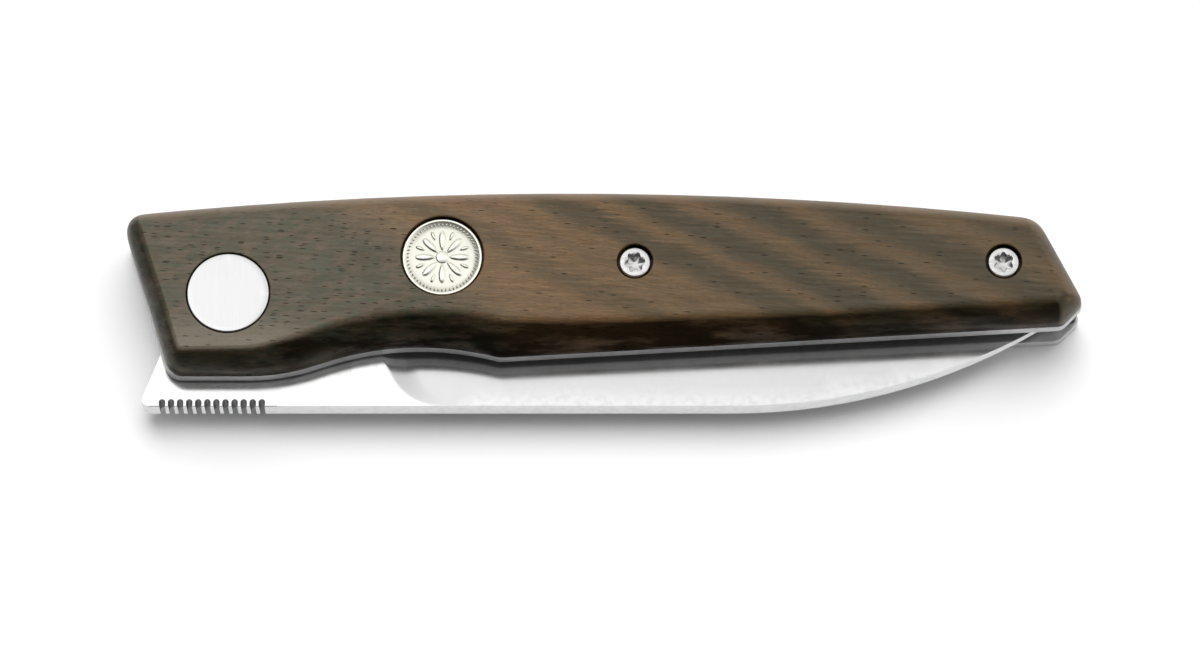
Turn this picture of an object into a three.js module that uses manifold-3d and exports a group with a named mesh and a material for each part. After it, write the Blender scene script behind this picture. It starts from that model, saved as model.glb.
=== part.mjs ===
// Folding pocket knife with a frame lock. A wood scale on a steel liner makes the front of the
// handle, a bare steel plate makes the rear, and the blade turns between them about a bushed pivot.
// Millimetres. Everything is drawn about the pivot: +X to the butt, +Y to the back, +Z to the front.

import * as THREE from 'three';
import { mergeVertices } from 'three/addons/utils/BufferGeometryUtils.js';
import Module from 'manifold-3d';

const wasm = await Module();
wasm.setup();

// Thicknesses, from the rear face up
const PLATE_THICKNESS = 1.6;
const WASHER_THICKNESS = 0.45;
const BLADE_THICKNESS = 3.0;
const LINER_THICKNESS = 1.6;
const SCALE_THICKNESS = 4.0;

// Clearances
const AXIAL_PLAY = 0.02;
const RUNNING_FIT = 0.03;
const FIT = 0.05;
const CONTACT_GAP = 0.1;

// Handle outline: the front end leans, the back is one long arc
const FRONT_BACK_X = -12.7;
const FRONT_MOUTH_X = -6.95;
const MOUTH_DEPTH = 8.87;
const BACK_CROWN_HEIGHT = 12.9;
const BACK_CROWN_X = 39;
const BACK_RADIUS = 480;
const BUTT_BACK_X = 93.3;
const BUTT_TIP_X = 98.45;
const BUTT_TIP_Y = -0.35;
const BUTT_MOUTH_X = 96;
const BUTT_MOUTH_DEPTH = 2.85;
const FRONT_CORNER = 2;
const BUTT_BACK_CORNER = 3;
const BUTT_TIP_CORNER = 0.8;
const BUTT_MOUTH_CORNER = 1.5;

// Finger groove in the front scale and liner, which bares the edge of the lock bar
const GROOVE_X = 22;
const GROOVE_DEPTH = 5.4;
const GROOVE_RADIUS = 34;
const GROOVE_END_X = 31.1;
const GROOVE_CORNER = 0.4;
const SWELL_RADIUS = 24;

// Rounded edge of the wood scale: a low upright side, then an arc that meets the top in a crease
const SIDE_HEIGHT = 0.8;
const ROUND_WIDTH = 2.4;
const ROUND_SWEEP = rad(74);
const ROUND_STEPS = 6;

// Blade, closed: the spine lies outside the mouth and the cutting edge inside the handle
const SPINE_DEPTH = 11.8;
const SPINE_DROP_X = 58;
const SPINE_RADIUS = 70;
const EDGE_HEIGHT = 0.6;
const BELLY_X = 72;
const TIP_X = 94;
const TIP_WIDTH = 0.25;
const EDGE_THICKNESS = 0.35;
const EDGE_BEVEL = 0.5;
const PLUNGE_X = 17.2;
const PLUNGE_DEPTH = 4;
const PLUNGE_TURN_X = 19;
const PLUNGE_END_X = 24.2;
const TANG_RADIUS = 8.9;
const TANG_CORNER_ANGLE = rad(210.5);
const TANG_FACE_ANGLE = rad(68.85);
const SPINE_CORNER = 0.8;
const KICK_RADIUS = 12;
const HEEL_X = 16.4;
const HEEL_Y = 0.3;
const HEEL_LAP = 0.3;

// Thumb notches cut in the spine
const NOTCH_COUNT = 12;
const NOTCH_PITCH = 1.045;
const NOTCH_FIRST_X = -7.74;
const NOTCH_WIDTH = 0.62;
const NOTCH_DEPTH = 0.8;

// Pivot
const DISC_RADIUS = 4.7;
const DISC_GAP = 0.15;
const DISC_CHAMFER = 0.12;
const BARREL_RADIUS = 2.5;
const BUSHING_RADIUS = 3.15;
const WASHER_RADIUS = 6.3;
const PIVOT_SCREW_HEAD_RADIUS = 3.3;
const PIVOT_SCREW_HEAD_HEIGHT = 0.8;
const PIVOT_SCREW_SINK = 0.1;
const PIVOT_SCREW_RADIUS = 1.45;
const PIVOT_SCREW_END = 4.6;
const BARREL_FLOOR = 1.4;

// Stop pin, held in a blind pocket in each plate
const STOP_PIN_RADIUS = 1.5;
const STOP_PIN_ALONG = 1.9;
const STOP_POCKET_DEPTH = 0.9;

// Lock bar, cut free of the rear plate
const LOCK_TIP_RADIUS = 9.2;
const LOCK_TIP_ANGLE = rad(45);
const LOCK_TOP_DEPTH = 1.3;
const LOCK_SLOT = 0.8;
const LOCK_ROOT_X = 60;
const LOCK_ROOT_GAP = 0.3;
const LOCK_RELIEF_RADIUS = 1.3;
const LOCK_RELIEF_X = 57.5;
const FLEX_GROOVE_WIDTH = 6;
const FLEX_GROOVE_DEPTH = 0.8;
const FLEX_GROOVE_X = 50;

// Detent ball in the lock bar and the hole in the tang that it drops into
const BALL_RADIUS = 0.8;
const BALL_PROUD = 0.15;
const DETENT_RADIUS = 11;
const DETENT_ANGLE = rad(-31);
const DETENT_HOLE_RADIUS = 0.75;

// Handle screws and the threaded standoffs between the plates
const SCREW_Y = 3.8;
const MID_SCREW_X = 46.7;
const BUTT_SCREW_X = 89.1;
const SCREW_XS = { mid: MID_SCREW_X, butt: BUTT_SCREW_X };
const THREAD_RADIUS = 1.2;
const STANDOFF_RADIUS = 2.1;
const SCREW_HEAD_RADIUS = 1.82;
const SCREW_HEAD_HEIGHT = 1.45;
const SCREW_HEAD_RIM = 0.18;
const SCREW_HEAD_SINK = 0.35;
const SCREW_COUNTERBORE_GAP = 0.28;
const FRONT_SCREW_REACH = 1.7;
const REAR_HEAD_RADIUS = 1.9;
const REAR_HEAD_RIM = 0.2;
const REAR_HEAD_SINK = 0.05;
const REAR_SCREW_REACH = 1.7;

// Six-lobe sockets
const SOCKET_RADIUS = 1.01;
const SOCKET_LOBE = 0.16;
const SOCKET_DEPTH = 0.95;

// Back spacer
const SPACER_INSET = 0.3;
const SPACER_WIDTH = 3.2;
const SPACER_FRONT_GAP = 0.8;
const SPACER_LOBE_WALL = 0.7;
const SPACER_BUTT_X = 83;
const SPACER_BUTT_Y = 1.4;
const SPACER_CORNER = 1.5;
const SPACER_WRAP_X = 95.1;
const SPACER_WRAP_DEPTH = 0.6;

// Medallion set into the wood
const MEDALLION_X = 24.55;
const MEDALLION_Y = 4.47;
const MEDALLION_RADIUS = 4.6;
const MEDALLION_GAP = 0.22;
const MEDALLION_THICKNESS = 1.2;
const MEDALLION_SINK = 0.45;
const MEDALLION_RIM = 0.5;
const MEDALLION_RELIEF = 0.15;
const MEDALLION_PETALS = 8;
const PETAL_LENGTH = 2.5;
const PETAL_WIDTH = 0.9;
const BOSS_RADIUS = 0.9;
const PETAL_GAP = 0.2;

// Fineness of curves: how far a chord may lie inside its arc, and the steps in a corner
const CHORD_ERROR = 0.01;
const CORNER_STEPS = 5;
const LEAST_CORNER = 0.2;
const BACK_STEPS = 15;
const BLADE_STEPS = 30;
const PLUNGE_STEPS = 8;
const PETAL_STEPS = 14;
const BALL_SEGMENTS = 16;
const SOCKET_STEPS = 36;
// How far a cutter runs past what it cuts
const BEYOND = 5;

// Levels that follow from the thicknesses
const PLATE_TOP = PLATE_THICKNESS;
const BLADE_BOTTOM = PLATE_TOP + WASHER_THICKNESS + AXIAL_PLAY;
const BLADE_TOP = BLADE_BOTTOM + BLADE_THICKNESS;
const BLADE_MIDDLE = (BLADE_BOTTOM + BLADE_TOP) / 2;
const LINER_BOTTOM = BLADE_TOP + AXIAL_PLAY + WASHER_THICKNESS;
const LINER_TOP = LINER_BOTTOM + LINER_THICKNESS;
const SCALE_TOP = LINER_TOP + SCALE_THICKNESS;

const STEEL = { color: 0xb9bcc0, metalness: 1 };
const MATERIALS = {
  mirror: new THREE.MeshStandardMaterial({ ...STEEL, color: 0xe4e6e8, roughness: 0.08 }),
  satin: new THREE.MeshStandardMaterial({ ...STEEL, roughness: 0.35 }),
  screw: new THREE.MeshStandardMaterial({ ...STEEL, color: 0xcfcfca, roughness: 0.25 }),
  bronze: new THREE.MeshStandardMaterial({ color: 0xb08040, metalness: 1, roughness: 0.4 }),
  nickel: new THREE.MeshStandardMaterial({ color: 0xd8d4c4, metalness: 1, roughness: 0.4 }),
  spacer: new THREE.MeshStandardMaterial({ color: 0x2b2b2d, metalness: 0, roughness: 0.6 }),
  wood: new THREE.MeshStandardMaterial({ color: 0x54412f, metalness: 0, roughness: 0.45 }),
};
for (const material of Object.values(MATERIALS)) material.flatShading = true;

function rad(degrees) {
  return degrees * Math.PI / 180;
}

function polar(radius, angle) {
  return new THREE.Vector2(radius * Math.cos(angle), radius * Math.sin(angle));
}

// Steps that keep a chord within the chord error of an arc
function stepsFor(radius, sweep) {
  const step = 2 * Math.acos(1 - Math.min(CHORD_ERROR / radius, 1));
  return Math.max(2, Math.ceil(Math.abs(sweep) / step));
}

function arc(centre, radius, from, to) {
  const steps = stepsFor(radius, to - from);
  const at = (i) => polar(radius, from + (to - from) * i / steps).add(centre);
  return Array.from({ length: steps + 1 }, (_, i) => at(i));
}

// Solids: three.js geometry in, manifold solids for cutting and joining
function solidOf(geometry) {
  const bare = geometry.clone();
  bare.deleteAttribute('normal');
  bare.deleteAttribute('uv');
  const merged = mergeVertices(bare, 1e-5);
  const index = merged.index.array;
  const triangles = [];
  for (let i = 0; i < index.length; i += 3) {
    const [a, b, c] = [index[i], index[i + 1], index[i + 2]];
    if (a !== b && b !== c && c !== a) triangles.push(a, b, c);
  }
  return new wasm.Manifold(new wasm.Mesh({
    numProp: 3,
    vertProperties: new Float32Array(merged.attributes.position.array),
    triVerts: new Uint32Array(triangles),
  }));
}

function prism(points, bottom, top) {
  const options = { depth: top - bottom, bevelEnabled: false };
  const geometry = new THREE.ExtrudeGeometry(new THREE.Shape(points), options);
  return solidOf(geometry.translate(0, 0, bottom));
}

function rod(radius, bottom, top, x = 0, y = 0) {
  const segments = stepsFor(radius, 2 * Math.PI);
  const geometry = new THREE.CylinderGeometry(radius, radius, top - bottom, segments);
  return solidOf(geometry.rotateX(Math.PI / 2).translate(x, y, (bottom + top) / 2));
}

// A turned solid from radius and height pairs that start and end on the axis, lowest first
function turned(profile, x = 0, y = 0) {
  const widest = Math.max(...profile.map(([radius]) => radius));
  const points = profile.map(([radius, height]) => new THREE.Vector2(radius, height));
  const geometry = new THREE.LatheGeometry(points, stepsFor(widest, 2 * Math.PI));
  return solidOf(geometry.rotateX(Math.PI / 2).translate(x, y, 0));
}

// A closed skin over rings that have the same number of points, capped at both ends
function loft(rings, firstCap, lastCap) {
  const count = rings[0].length;
  const positions = rings.flat().flatMap((point) => [point.x, point.y, point.z]);
  const faces = [];
  for (let r = 0; r + 1 < rings.length; r += 1) {
    for (let i = 0; i < count; i += 1) {
      const a = r * count + i;
      const b = r * count + (i + 1) % count;
      faces.push(a, b, b + count, a, b + count, a + count);
    }
  }
  const last = (rings.length - 1) * count;
  for (const [a, b, c] of firstCap) faces.push(a, c, b);
  for (const [a, b, c] of lastCap) faces.push(last + a, last + b, last + c);
  const geometry = new THREE.BufferGeometry();
  geometry.setAttribute('position', new THREE.Float32BufferAttribute(positions, 3));
  geometry.setIndex(faces);
  return solidOf(geometry);
}

function sixLobes() {
  const points = [];
  for (let i = 0; i < SOCKET_STEPS; i += 1) {
    const angle = 2 * Math.PI * i / SOCKET_STEPS;
    points.push(polar(SOCKET_RADIUS + SOCKET_LOBE * Math.cos(6 * angle), angle));
  }
  return points;
}

function rectangle(left, right, bottom, top) {
  return [
    new THREE.Vector2(left, bottom), new THREE.Vector2(right, bottom),
    new THREE.Vector2(right, top), new THREE.Vector2(left, top),
  ];
}

// Outlines: corner points in counterclockwise order, each with the radius of its rounding
function corner(x, y, radius = 0) {
  return { point: new THREE.Vector2(x, y), radius };
}

function leftOf(direction) {
  return new THREE.Vector2(-direction.y, direction.x);
}

function heading(from, to) {
  return to.clone().sub(from).normalize();
}

function outline(corners, inset = 0) {
  const count = corners.length;
  const moved = corners.map(({ point, radius }, i) => {
    const into = heading(corners[(i + count - 1) % count].point, point);
    const out = heading(point, corners[(i + 1) % count].point);
    const inwards = leftOf(into).add(leftOf(out)).normalize();
    const reach = inset / inwards.dot(leftOf(into));
    const turn = Math.sign(into.cross(out));
    const rounding = radius === 0 ? 0 : Math.max(radius - turn * inset, LEAST_CORNER);
    return { point: point.clone().addScaledVector(inwards, reach), radius: rounding };
  });
  return moved.flatMap(({ point, radius }, i) => {
    if (radius === 0) return [point];
    const into = heading(moved[(i + count - 1) % count].point, point);
    const out = heading(point, moved[(i + 1) % count].point);
    const turn = Math.atan2(into.cross(out), into.dot(out));
    const start = point.clone().addScaledVector(into, -radius * Math.tan(Math.abs(turn) / 2));
    const centre = start.clone().addScaledVector(leftOf(into), radius * Math.sign(turn));
    const at = (k) => start.clone().rotateAround(centre, turn * k / CORNER_STEPS);
    return Array.from({ length: CORNER_STEPS + 1 }, (_, k) => at(k));
  });
}

function backHeight(x) {
  return BACK_CROWN_HEIGHT - (x - BACK_CROWN_X) ** 2 / (2 * BACK_RADIUS);
}

function handleCorners(mouth) {
  const back = [];
  for (let i = 1; i < BACK_STEPS; i += 1) {
    const x = THREE.MathUtils.lerp(BUTT_BACK_X, FRONT_BACK_X, i / BACK_STEPS);
    back.push(corner(x, backHeight(x)));
  }
  return [
    corner(FRONT_MOUTH_X, -MOUTH_DEPTH, FRONT_CORNER),
    ...mouth,
    corner(BUTT_MOUTH_X, -BUTT_MOUTH_DEPTH, BUTT_MOUTH_CORNER),
    corner(BUTT_TIP_X, BUTT_TIP_Y, BUTT_TIP_CORNER),
    corner(BUTT_BACK_X, backHeight(BUTT_BACK_X), BUTT_BACK_CORNER),
    ...back,
    corner(FRONT_BACK_X, backHeight(FRONT_BACK_X), FRONT_CORNER),
  ];
}

// The groove arc bulges into the handle; the swell arc leads into it from the flat front
function grooveCentre() {
  return new THREE.Vector2(GROOVE_X, -GROOVE_DEPTH - GROOVE_RADIUS);
}

function swellCentre() {
  const rise = SWELL_RADIUS - MOUTH_DEPTH - grooveCentre().y;
  const apart = SWELL_RADIUS + GROOVE_RADIUS;
  const x = GROOVE_X - Math.sqrt(apart ** 2 - rise ** 2);
  return new THREE.Vector2(x, SWELL_RADIUS - MOUTH_DEPTH);
}

function grooveEnd() {
  const angle = Math.acos((GROOVE_END_X - GROOVE_X) / GROOVE_RADIUS);
  return polar(GROOVE_RADIUS, angle).add(grooveCentre());
}

function grooveMouth() {
  const lean = heading(grooveCentre(), swellCentre()).angle();
  const end = grooveEnd();
  const swell = arc(swellCentre(), SWELL_RADIUS, -Math.PI / 2, lean - Math.PI);
  const groove = arc(grooveCentre(), GROOVE_RADIUS, lean, end.clone().sub(grooveCentre()).angle());
  const smooth = [...swell, ...groove.slice(1, -1)].map((point) => corner(point.x, point.y));
  return [...smooth, corner(end.x, end.y, GROOVE_CORNER)];
}

function straightMouth() {
  const end = grooveEnd();
  return [corner(swellCentre().x, -MOUTH_DEPTH), corner(end.x, end.y)];
}

// Where the stop pin stands: against the rear face of the tang when the blade is open
function stopPinCentre() {
  const faceStart = polar(TANG_RADIUS, TANG_CORNER_ANGLE - Math.PI);
  const along = polar(STOP_PIN_ALONG, TANG_FACE_ANGLE);
  const clear = polar(STOP_PIN_RADIUS + CONTACT_GAP, TANG_FACE_ANGLE - Math.PI / 2);
  return faceStart.add(along).add(clear);
}

// The face of the kick, which meets the stop pin when the blade is closed
function kickAngle() {
  const pin = stopPinCentre();
  return pin.angle() - Math.asin((STOP_PIN_RADIUS + CONTACT_GAP) / pin.length());
}

function detentPlace() {
  return polar(DETENT_RADIUS, DETENT_ANGLE);
}

function spineY(x) {
  const past = Math.max(0, x - SPINE_DROP_X);
  return SPINE_RADIUS - SPINE_DEPTH - Math.sqrt(SPINE_RADIUS ** 2 - past ** 2);
}

function edgeY(x) {
  const past = Math.max(0, x - BELLY_X) / (TIP_X - BELLY_X);
  return EDGE_HEIGHT - (EDGE_HEIGHT - spineY(TIP_X) - TIP_WIDTH) * past ** 2;
}

// Half the blade's thickness at a height: the grind is flat from the spine to the edge
function halfThickness(y) {
  const share = (y + SPINE_DEPTH) / (EDGE_HEIGHT + SPINE_DEPTH);
  return THREE.MathUtils.lerp(BLADE_THICKNESS, EDGE_THICKNESS, share) / 2;
}

// The rounded corner between the spine and the leaning rear face of the tang
function spineCorner() {
  const faceFoot = polar(TANG_RADIUS, TANG_CORNER_ANGLE);
  const run = (faceFoot.y + SPINE_DEPTH) / Math.tan(TANG_FACE_ANGLE);
  const centre = new THREE.Vector2(faceFoot.x - run, SPINE_CORNER - SPINE_DEPTH);
  centre.x += SPINE_CORNER / Math.tan(TANG_FACE_ANGLE / 2);
  return arc(centre, SPINE_CORNER, -Math.PI / 2, TANG_FACE_ANGLE - 3 * Math.PI / 2);
}

function notchOutline(x) {
  const half = NOTCH_WIDTH / 2;
  const bottom = new THREE.Vector2(x, NOTCH_DEPTH - half - SPINE_DEPTH);
  const mouth = (side) => new THREE.Vector2(x + side * half, -SPINE_DEPTH);
  return [mouth(1), ...arc(bottom, half, 0, Math.PI), mouth(-1)];
}

function tangOutline() {
  const points = [new THREE.Vector2(PLUNGE_END_X, -SPINE_DEPTH)];
  for (let i = NOTCH_COUNT - 1; i >= 0; i -= 1) {
    points.push(...notchOutline(NOTCH_FIRST_X + i * NOTCH_PITCH));
  }
  points.push(...spineCorner());
  points.push(...arc(new THREE.Vector2(), TANG_RADIUS, TANG_CORNER_ANGLE, kickAngle()));
  points.push(polar(KICK_RADIUS, kickAngle()));
  points.push(new THREE.Vector2(HEEL_X, HEEL_Y));
  points.push(new THREE.Vector2(PLUNGE_X, HEEL_Y));
  const plunge = new THREE.QuadraticBezierCurve(
    new THREE.Vector2(PLUNGE_X, -PLUNGE_DEPTH),
    new THREE.Vector2(PLUNGE_TURN_X, -SPINE_DEPTH),
    new THREE.Vector2(PLUNGE_END_X, -SPINE_DEPTH),
  );
  return [...points, ...plunge.getPoints(PLUNGE_STEPS).slice(0, -1)];
}

// One cross-section of the ground blade: spine, shoulders of the edge bevel, edge
function groundSection(x) {
  const spine = spineY(x);
  const edge = edgeY(x);
  const shoulder = edge - Math.min(EDGE_BEVEL, (edge - spine) / 2);
  const at = (y, side) => new THREE.Vector3(x, y, BLADE_MIDDLE + side * halfThickness(y));
  return [at(spine, -1), at(shoulder, -1), at(edge, 0), at(shoulder, 1), at(spine, 1)];
}

function blade() {
  const sections = [];
  for (let i = 0; i <= BLADE_STEPS; i += 1) {
    sections.push(groundSection(THREE.MathUtils.lerp(PLUNGE_X - HEEL_LAP, TIP_X, i / BLADE_STEPS)));
  }
  const cap = [[0, 1, 2], [0, 2, 3], [0, 3, 4]];
  const detent = detentPlace();
  return prism(tangOutline(), BLADE_BOTTOM, BLADE_TOP)
    .add(loft(sections, cap, cap))
    .subtract(rod(BUSHING_RADIUS + RUNNING_FIT, 0, SCALE_TOP))
    .subtract(rod(DETENT_HOLE_RADIUS, 0, SCALE_TOP, detent.x, detent.y));
}

// Front of the handle
function frontScale() {
  const rings = [];
  const ring = (inset, z) => {
    const points = outline(handleCorners(grooveMouth()), inset);
    rings.push(points.map((point) => new THREE.Vector3(point.x, point.y, z)));
  };
  ring(0, LINER_TOP);
  for (let i = 0; i <= ROUND_STEPS; i += 1) {
    const sweep = ROUND_SWEEP * i / ROUND_STEPS;
    const inset = ROUND_WIDTH * (1 - Math.cos(sweep)) / (1 - Math.cos(ROUND_SWEEP));
    const rise = (SCALE_THICKNESS - SIDE_HEIGHT) * Math.sin(sweep) / Math.sin(ROUND_SWEEP);
    ring(inset, LINER_TOP + SIDE_HEIGHT + rise);
  }
  const capOf = (points) => THREE.ShapeUtils.triangulateShape(points, []);
  let scale = loft(rings, capOf(rings[0]), capOf(rings.at(-1)))
    .subtract(rod(DISC_RADIUS + DISC_GAP, 0, SCALE_TOP + BEYOND))
    .subtract(rod(MEDALLION_RADIUS + MEDALLION_GAP, medallionFloor(), SCALE_TOP + BEYOND,
      MEDALLION_X, MEDALLION_Y));
  for (const x of Object.values(SCREW_XS)) {
    scale = scale
      .subtract(rod(THREAD_RADIUS + FIT, 0, SCALE_TOP, x, SCREW_Y))
      .subtract(rod(SCREW_HEAD_RADIUS + SCREW_COUNTERBORE_GAP, frontHeadBottom(),
        SCALE_TOP + BEYOND, x, SCREW_Y));
  }
  return scale;
}

function frontLiner() {
  const pin = stopPinCentre();
  let liner = prism(outline(handleCorners(grooveMouth())), LINER_BOTTOM, LINER_TOP)
    .subtract(rod(BARREL_RADIUS + FIT, 0, SCALE_TOP))
    .subtract(rod(STOP_PIN_RADIUS + FIT, 0, LINER_BOTTOM + STOP_POCKET_DEPTH, pin.x, pin.y));
  for (const x of Object.values(SCREW_XS)) {
    liner = liner.subtract(rod(THREAD_RADIUS + FIT, 0, SCALE_TOP, x, SCREW_Y));
  }
  return liner;
}

function medallionFloor() {
  return SCALE_TOP - MEDALLION_SINK - MEDALLION_THICKNESS;
}

function frontHeadBottom() {
  return SCALE_TOP - SCREW_HEAD_SINK - SCREW_HEAD_HEIGHT;
}

// A coin with a raised rim, a rosette of petals and a boss
function medallion() {
  const floor = medallionFloor();
  const face = floor + MEDALLION_THICKNESS - MEDALLION_RELIEF;
  const rim = face + MEDALLION_RELIEF;
  const inner = MEDALLION_RADIUS - MEDALLION_RIM;
  let coin = turned([
    [0, floor], [MEDALLION_RADIUS, floor], [MEDALLION_RADIUS, rim], [inner, rim],
    [inner, face], [0, face],
  ]);
  for (let i = 0; i < MEDALLION_PETALS; i += 1) {
    const angle = 2 * Math.PI * i / MEDALLION_PETALS;
    const centre = polar(BOSS_RADIUS + PETAL_GAP + PETAL_LENGTH / 2, angle);
    const petal = new THREE.EllipseCurve(centre.x, centre.y, PETAL_LENGTH / 2, PETAL_WIDTH / 2,
      0, 2 * Math.PI, false, angle);
    coin = coin.add(prism(petal.getPoints(PETAL_STEPS).slice(1), floor + MEDALLION_RELIEF, rim));
  }
  return coin.add(rod(BOSS_RADIUS, floor + MEDALLION_RELIEF, rim));
}

// Rear of the handle: the lock bar's room is the bar itself, grown by the slot round it
function lockRoom(grow, rootX) {
  const tipRadius = LOCK_TIP_RADIUS - grow;
  const top = grow - LOCK_TOP_DEPTH;
  const end = polar(tipRadius, -LOCK_TIP_ANGLE - Math.asin(grow / tipRadius));
  const outside = end.clone().add(polar(MOUTH_DEPTH, -LOCK_TIP_ANGLE));
  const tip = arc(new THREE.Vector2(), tipRadius, Math.asin(top / tipRadius), end.angle() - 2 * Math.PI);
  const far = Math.min(outside.y, -MOUTH_DEPTH - BEYOND);
  return [
    ...tip, outside, new THREE.Vector2(outside.x, far), new THREE.Vector2(rootX, far),
    new THREE.Vector2(rootX, top),
  ];
}

function plateBlank() {
  const slotMiddle = LOCK_SLOT / 2 - LOCK_TOP_DEPTH;
  return prism(outline(handleCorners(straightMouth())), 0, PLATE_TOP)
    .subtract(rod(LOCK_RELIEF_RADIUS, -BEYOND, BEYOND, LOCK_RELIEF_X, slotMiddle));
}

function rearPlate() {
  const pin = stopPinCentre();
  const headRoom = PIVOT_SCREW_SINK + PIVOT_SCREW_HEAD_HEIGHT;
  let plate = plateBlank()
    .subtract(prism(lockRoom(LOCK_SLOT, LOCK_ROOT_X + LOCK_ROOT_GAP / 2), -BEYOND, BEYOND))
    .subtract(rod(BARREL_RADIUS + FIT, -BEYOND, BEYOND))
    .subtract(rod(PIVOT_SCREW_HEAD_RADIUS + FIT, -BEYOND, headRoom))
    .subtract(rod(STOP_PIN_RADIUS + FIT, PLATE_TOP - STOP_POCKET_DEPTH, BEYOND, pin.x, pin.y));
  for (const x of Object.values(SCREW_XS)) plate = plate.subtract(countersink(x));
  return plate;
}

function lockBar() {
  const ball = detentPlace();
  const groove = rectangle(FLEX_GROOVE_X, FLEX_GROOVE_X + FLEX_GROOVE_WIDTH, -MOUTH_DEPTH, 0);
  const room = prism(lockRoom(0, LOCK_ROOT_X - LOCK_ROOT_GAP / 2), -BEYOND, BEYOND);
  return plateBlank()
    .intersect(room)
    .subtract(prism(groove, -BEYOND, FLEX_GROOVE_DEPTH))
    .subtract(rod(BALL_RADIUS + FIT, -BEYOND, BEYOND, ball.x, ball.y));
}

function detentBall() {
  const height = PLATE_TOP + BALL_PROUD - BALL_RADIUS;
  const geometry = new THREE.SphereGeometry(BALL_RADIUS, BALL_SEGMENTS, BALL_SEGMENTS / 2);
  return solidOf(geometry.rotateX(Math.PI / 2).translate(0, 0, height));
}

// Pivot
function pivotBarrel() {
  const foot = PIVOT_SCREW_SINK + PIVOT_SCREW_HEAD_HEIGHT + FIT;
  return turned([
    [0, foot], [BARREL_RADIUS, foot], [BARREL_RADIUS, LINER_TOP], [DISC_RADIUS, LINER_TOP],
    [DISC_RADIUS, SCALE_TOP - DISC_CHAMFER], [DISC_RADIUS - DISC_CHAMFER, SCALE_TOP], [0, SCALE_TOP],
  ]).subtract(rod(PIVOT_SCREW_RADIUS + FIT, 0, LINER_TOP - BARREL_FLOOR));
}

function pivotScrew() {
  const top = PIVOT_SCREW_SINK + PIVOT_SCREW_HEAD_HEIGHT;
  return turned([
    [0, PIVOT_SCREW_SINK], [PIVOT_SCREW_HEAD_RADIUS, PIVOT_SCREW_SINK],
    [PIVOT_SCREW_HEAD_RADIUS, top], [PIVOT_SCREW_RADIUS, top],
    [PIVOT_SCREW_RADIUS, PIVOT_SCREW_END], [0, PIVOT_SCREW_END],
  ]).subtract(prism(sixLobes(), -BEYOND, PIVOT_SCREW_SINK + SOCKET_DEPTH));
}

function tube(outer, inner, bottom, top) {
  return rod(outer, bottom, top).subtract(rod(inner, bottom - BEYOND, top + BEYOND));
}

function washer(bottom) {
  const bore = BUSHING_RADIUS + FIT;
  return tube(WASHER_RADIUS, bore, bottom, bottom + WASHER_THICKNESS);
}

function stopPin() {
  return rod(STOP_PIN_RADIUS, PLATE_TOP - STOP_POCKET_DEPTH, LINER_BOTTOM + STOP_POCKET_DEPTH);
}

// Handle screws
function frontScrew() {
  const bottom = frontHeadBottom();
  const top = bottom + SCREW_HEAD_HEIGHT;
  const tip = LINER_BOTTOM - FRONT_SCREW_REACH;
  return turned([
    [0, tip], [THREAD_RADIUS, tip], [THREAD_RADIUS, bottom], [SCREW_HEAD_RADIUS, bottom],
    [SCREW_HEAD_RADIUS, top - SCREW_HEAD_RIM], [SCREW_HEAD_RADIUS - SCREW_HEAD_RIM, top], [0, top],
  ]).subtract(prism(sixLobes(), top - SOCKET_DEPTH, top + BEYOND));
}

// The rear screws' countersunk heads, and the same shape grown by the fit for their seats
function rearHeadProfile(grow) {
  const rim = REAR_HEAD_SINK + REAR_HEAD_RIM;
  const neck = rim + REAR_HEAD_RADIUS - THREAD_RADIUS;
  return { low: REAR_HEAD_SINK, rim, neck, wide: REAR_HEAD_RADIUS + grow, thin: THREAD_RADIUS + grow };
}

function countersink(x) {
  const { rim, neck, wide, thin } = rearHeadProfile(FIT);
  return turned([
    [0, -BEYOND], [wide, -BEYOND], [wide, rim], [thin, neck], [thin, BEYOND], [0, BEYOND],
  ], x, SCREW_Y);
}

function rearScrew() {
  const { low, rim, neck, wide, thin } = rearHeadProfile(0);
  const tip = PLATE_TOP + REAR_SCREW_REACH;
  return turned([
    [0, low], [wide, low], [wide, rim], [thin, neck], [thin, tip], [0, tip],
  ]).subtract(prism(sixLobes(), -BEYOND, low + SOCKET_DEPTH));
}

function standoff() {
  return tube(STANDOFF_RADIUS, THREAD_RADIUS + FIT, PLATE_TOP, LINER_BOTTOM);
}

// Back spacer: a strip along the back, a lobe round the middle standoff and a block at the butt
function spacerRoom() {
  const above = BACK_CROWN_HEIGHT + BEYOND;
  const beyondButt = BUTT_TIP_X + BEYOND;
  const strip = (x) => backHeight(x) - SPACER_INSET - SPACER_WIDTH;
  const front = polar(TANG_RADIUS, TANG_CORNER_ANGLE - Math.PI)
    .add(polar(SPACER_FRONT_GAP, TANG_FACE_ANGLE - Math.PI / 2));
  const frontX = (y) => front.x + (y - front.y) / Math.tan(TANG_FACE_ANGLE);
  const startX = frontX(strip(front.x));
  const corners = [corner(frontX(above), above)];
  for (let i = 0; i < BACK_STEPS; i += 1) {
    const x = THREE.MathUtils.lerp(startX, SPACER_BUTT_X, i / BACK_STEPS);
    corners.push(corner(x, strip(x)));
  }
  return outline([
    ...corners,
    corner(SPACER_BUTT_X, strip(SPACER_BUTT_X), SPACER_CORNER),
    corner(SPACER_BUTT_X, SPACER_BUTT_Y, SPACER_CORNER),
    corner(SPACER_WRAP_X, SPACER_BUTT_Y),
    corner(SPACER_WRAP_X, -SPACER_WRAP_DEPTH),
    corner(beyondButt, -SPACER_WRAP_DEPTH),
    corner(beyondButt, above),
  ]);
}

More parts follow.
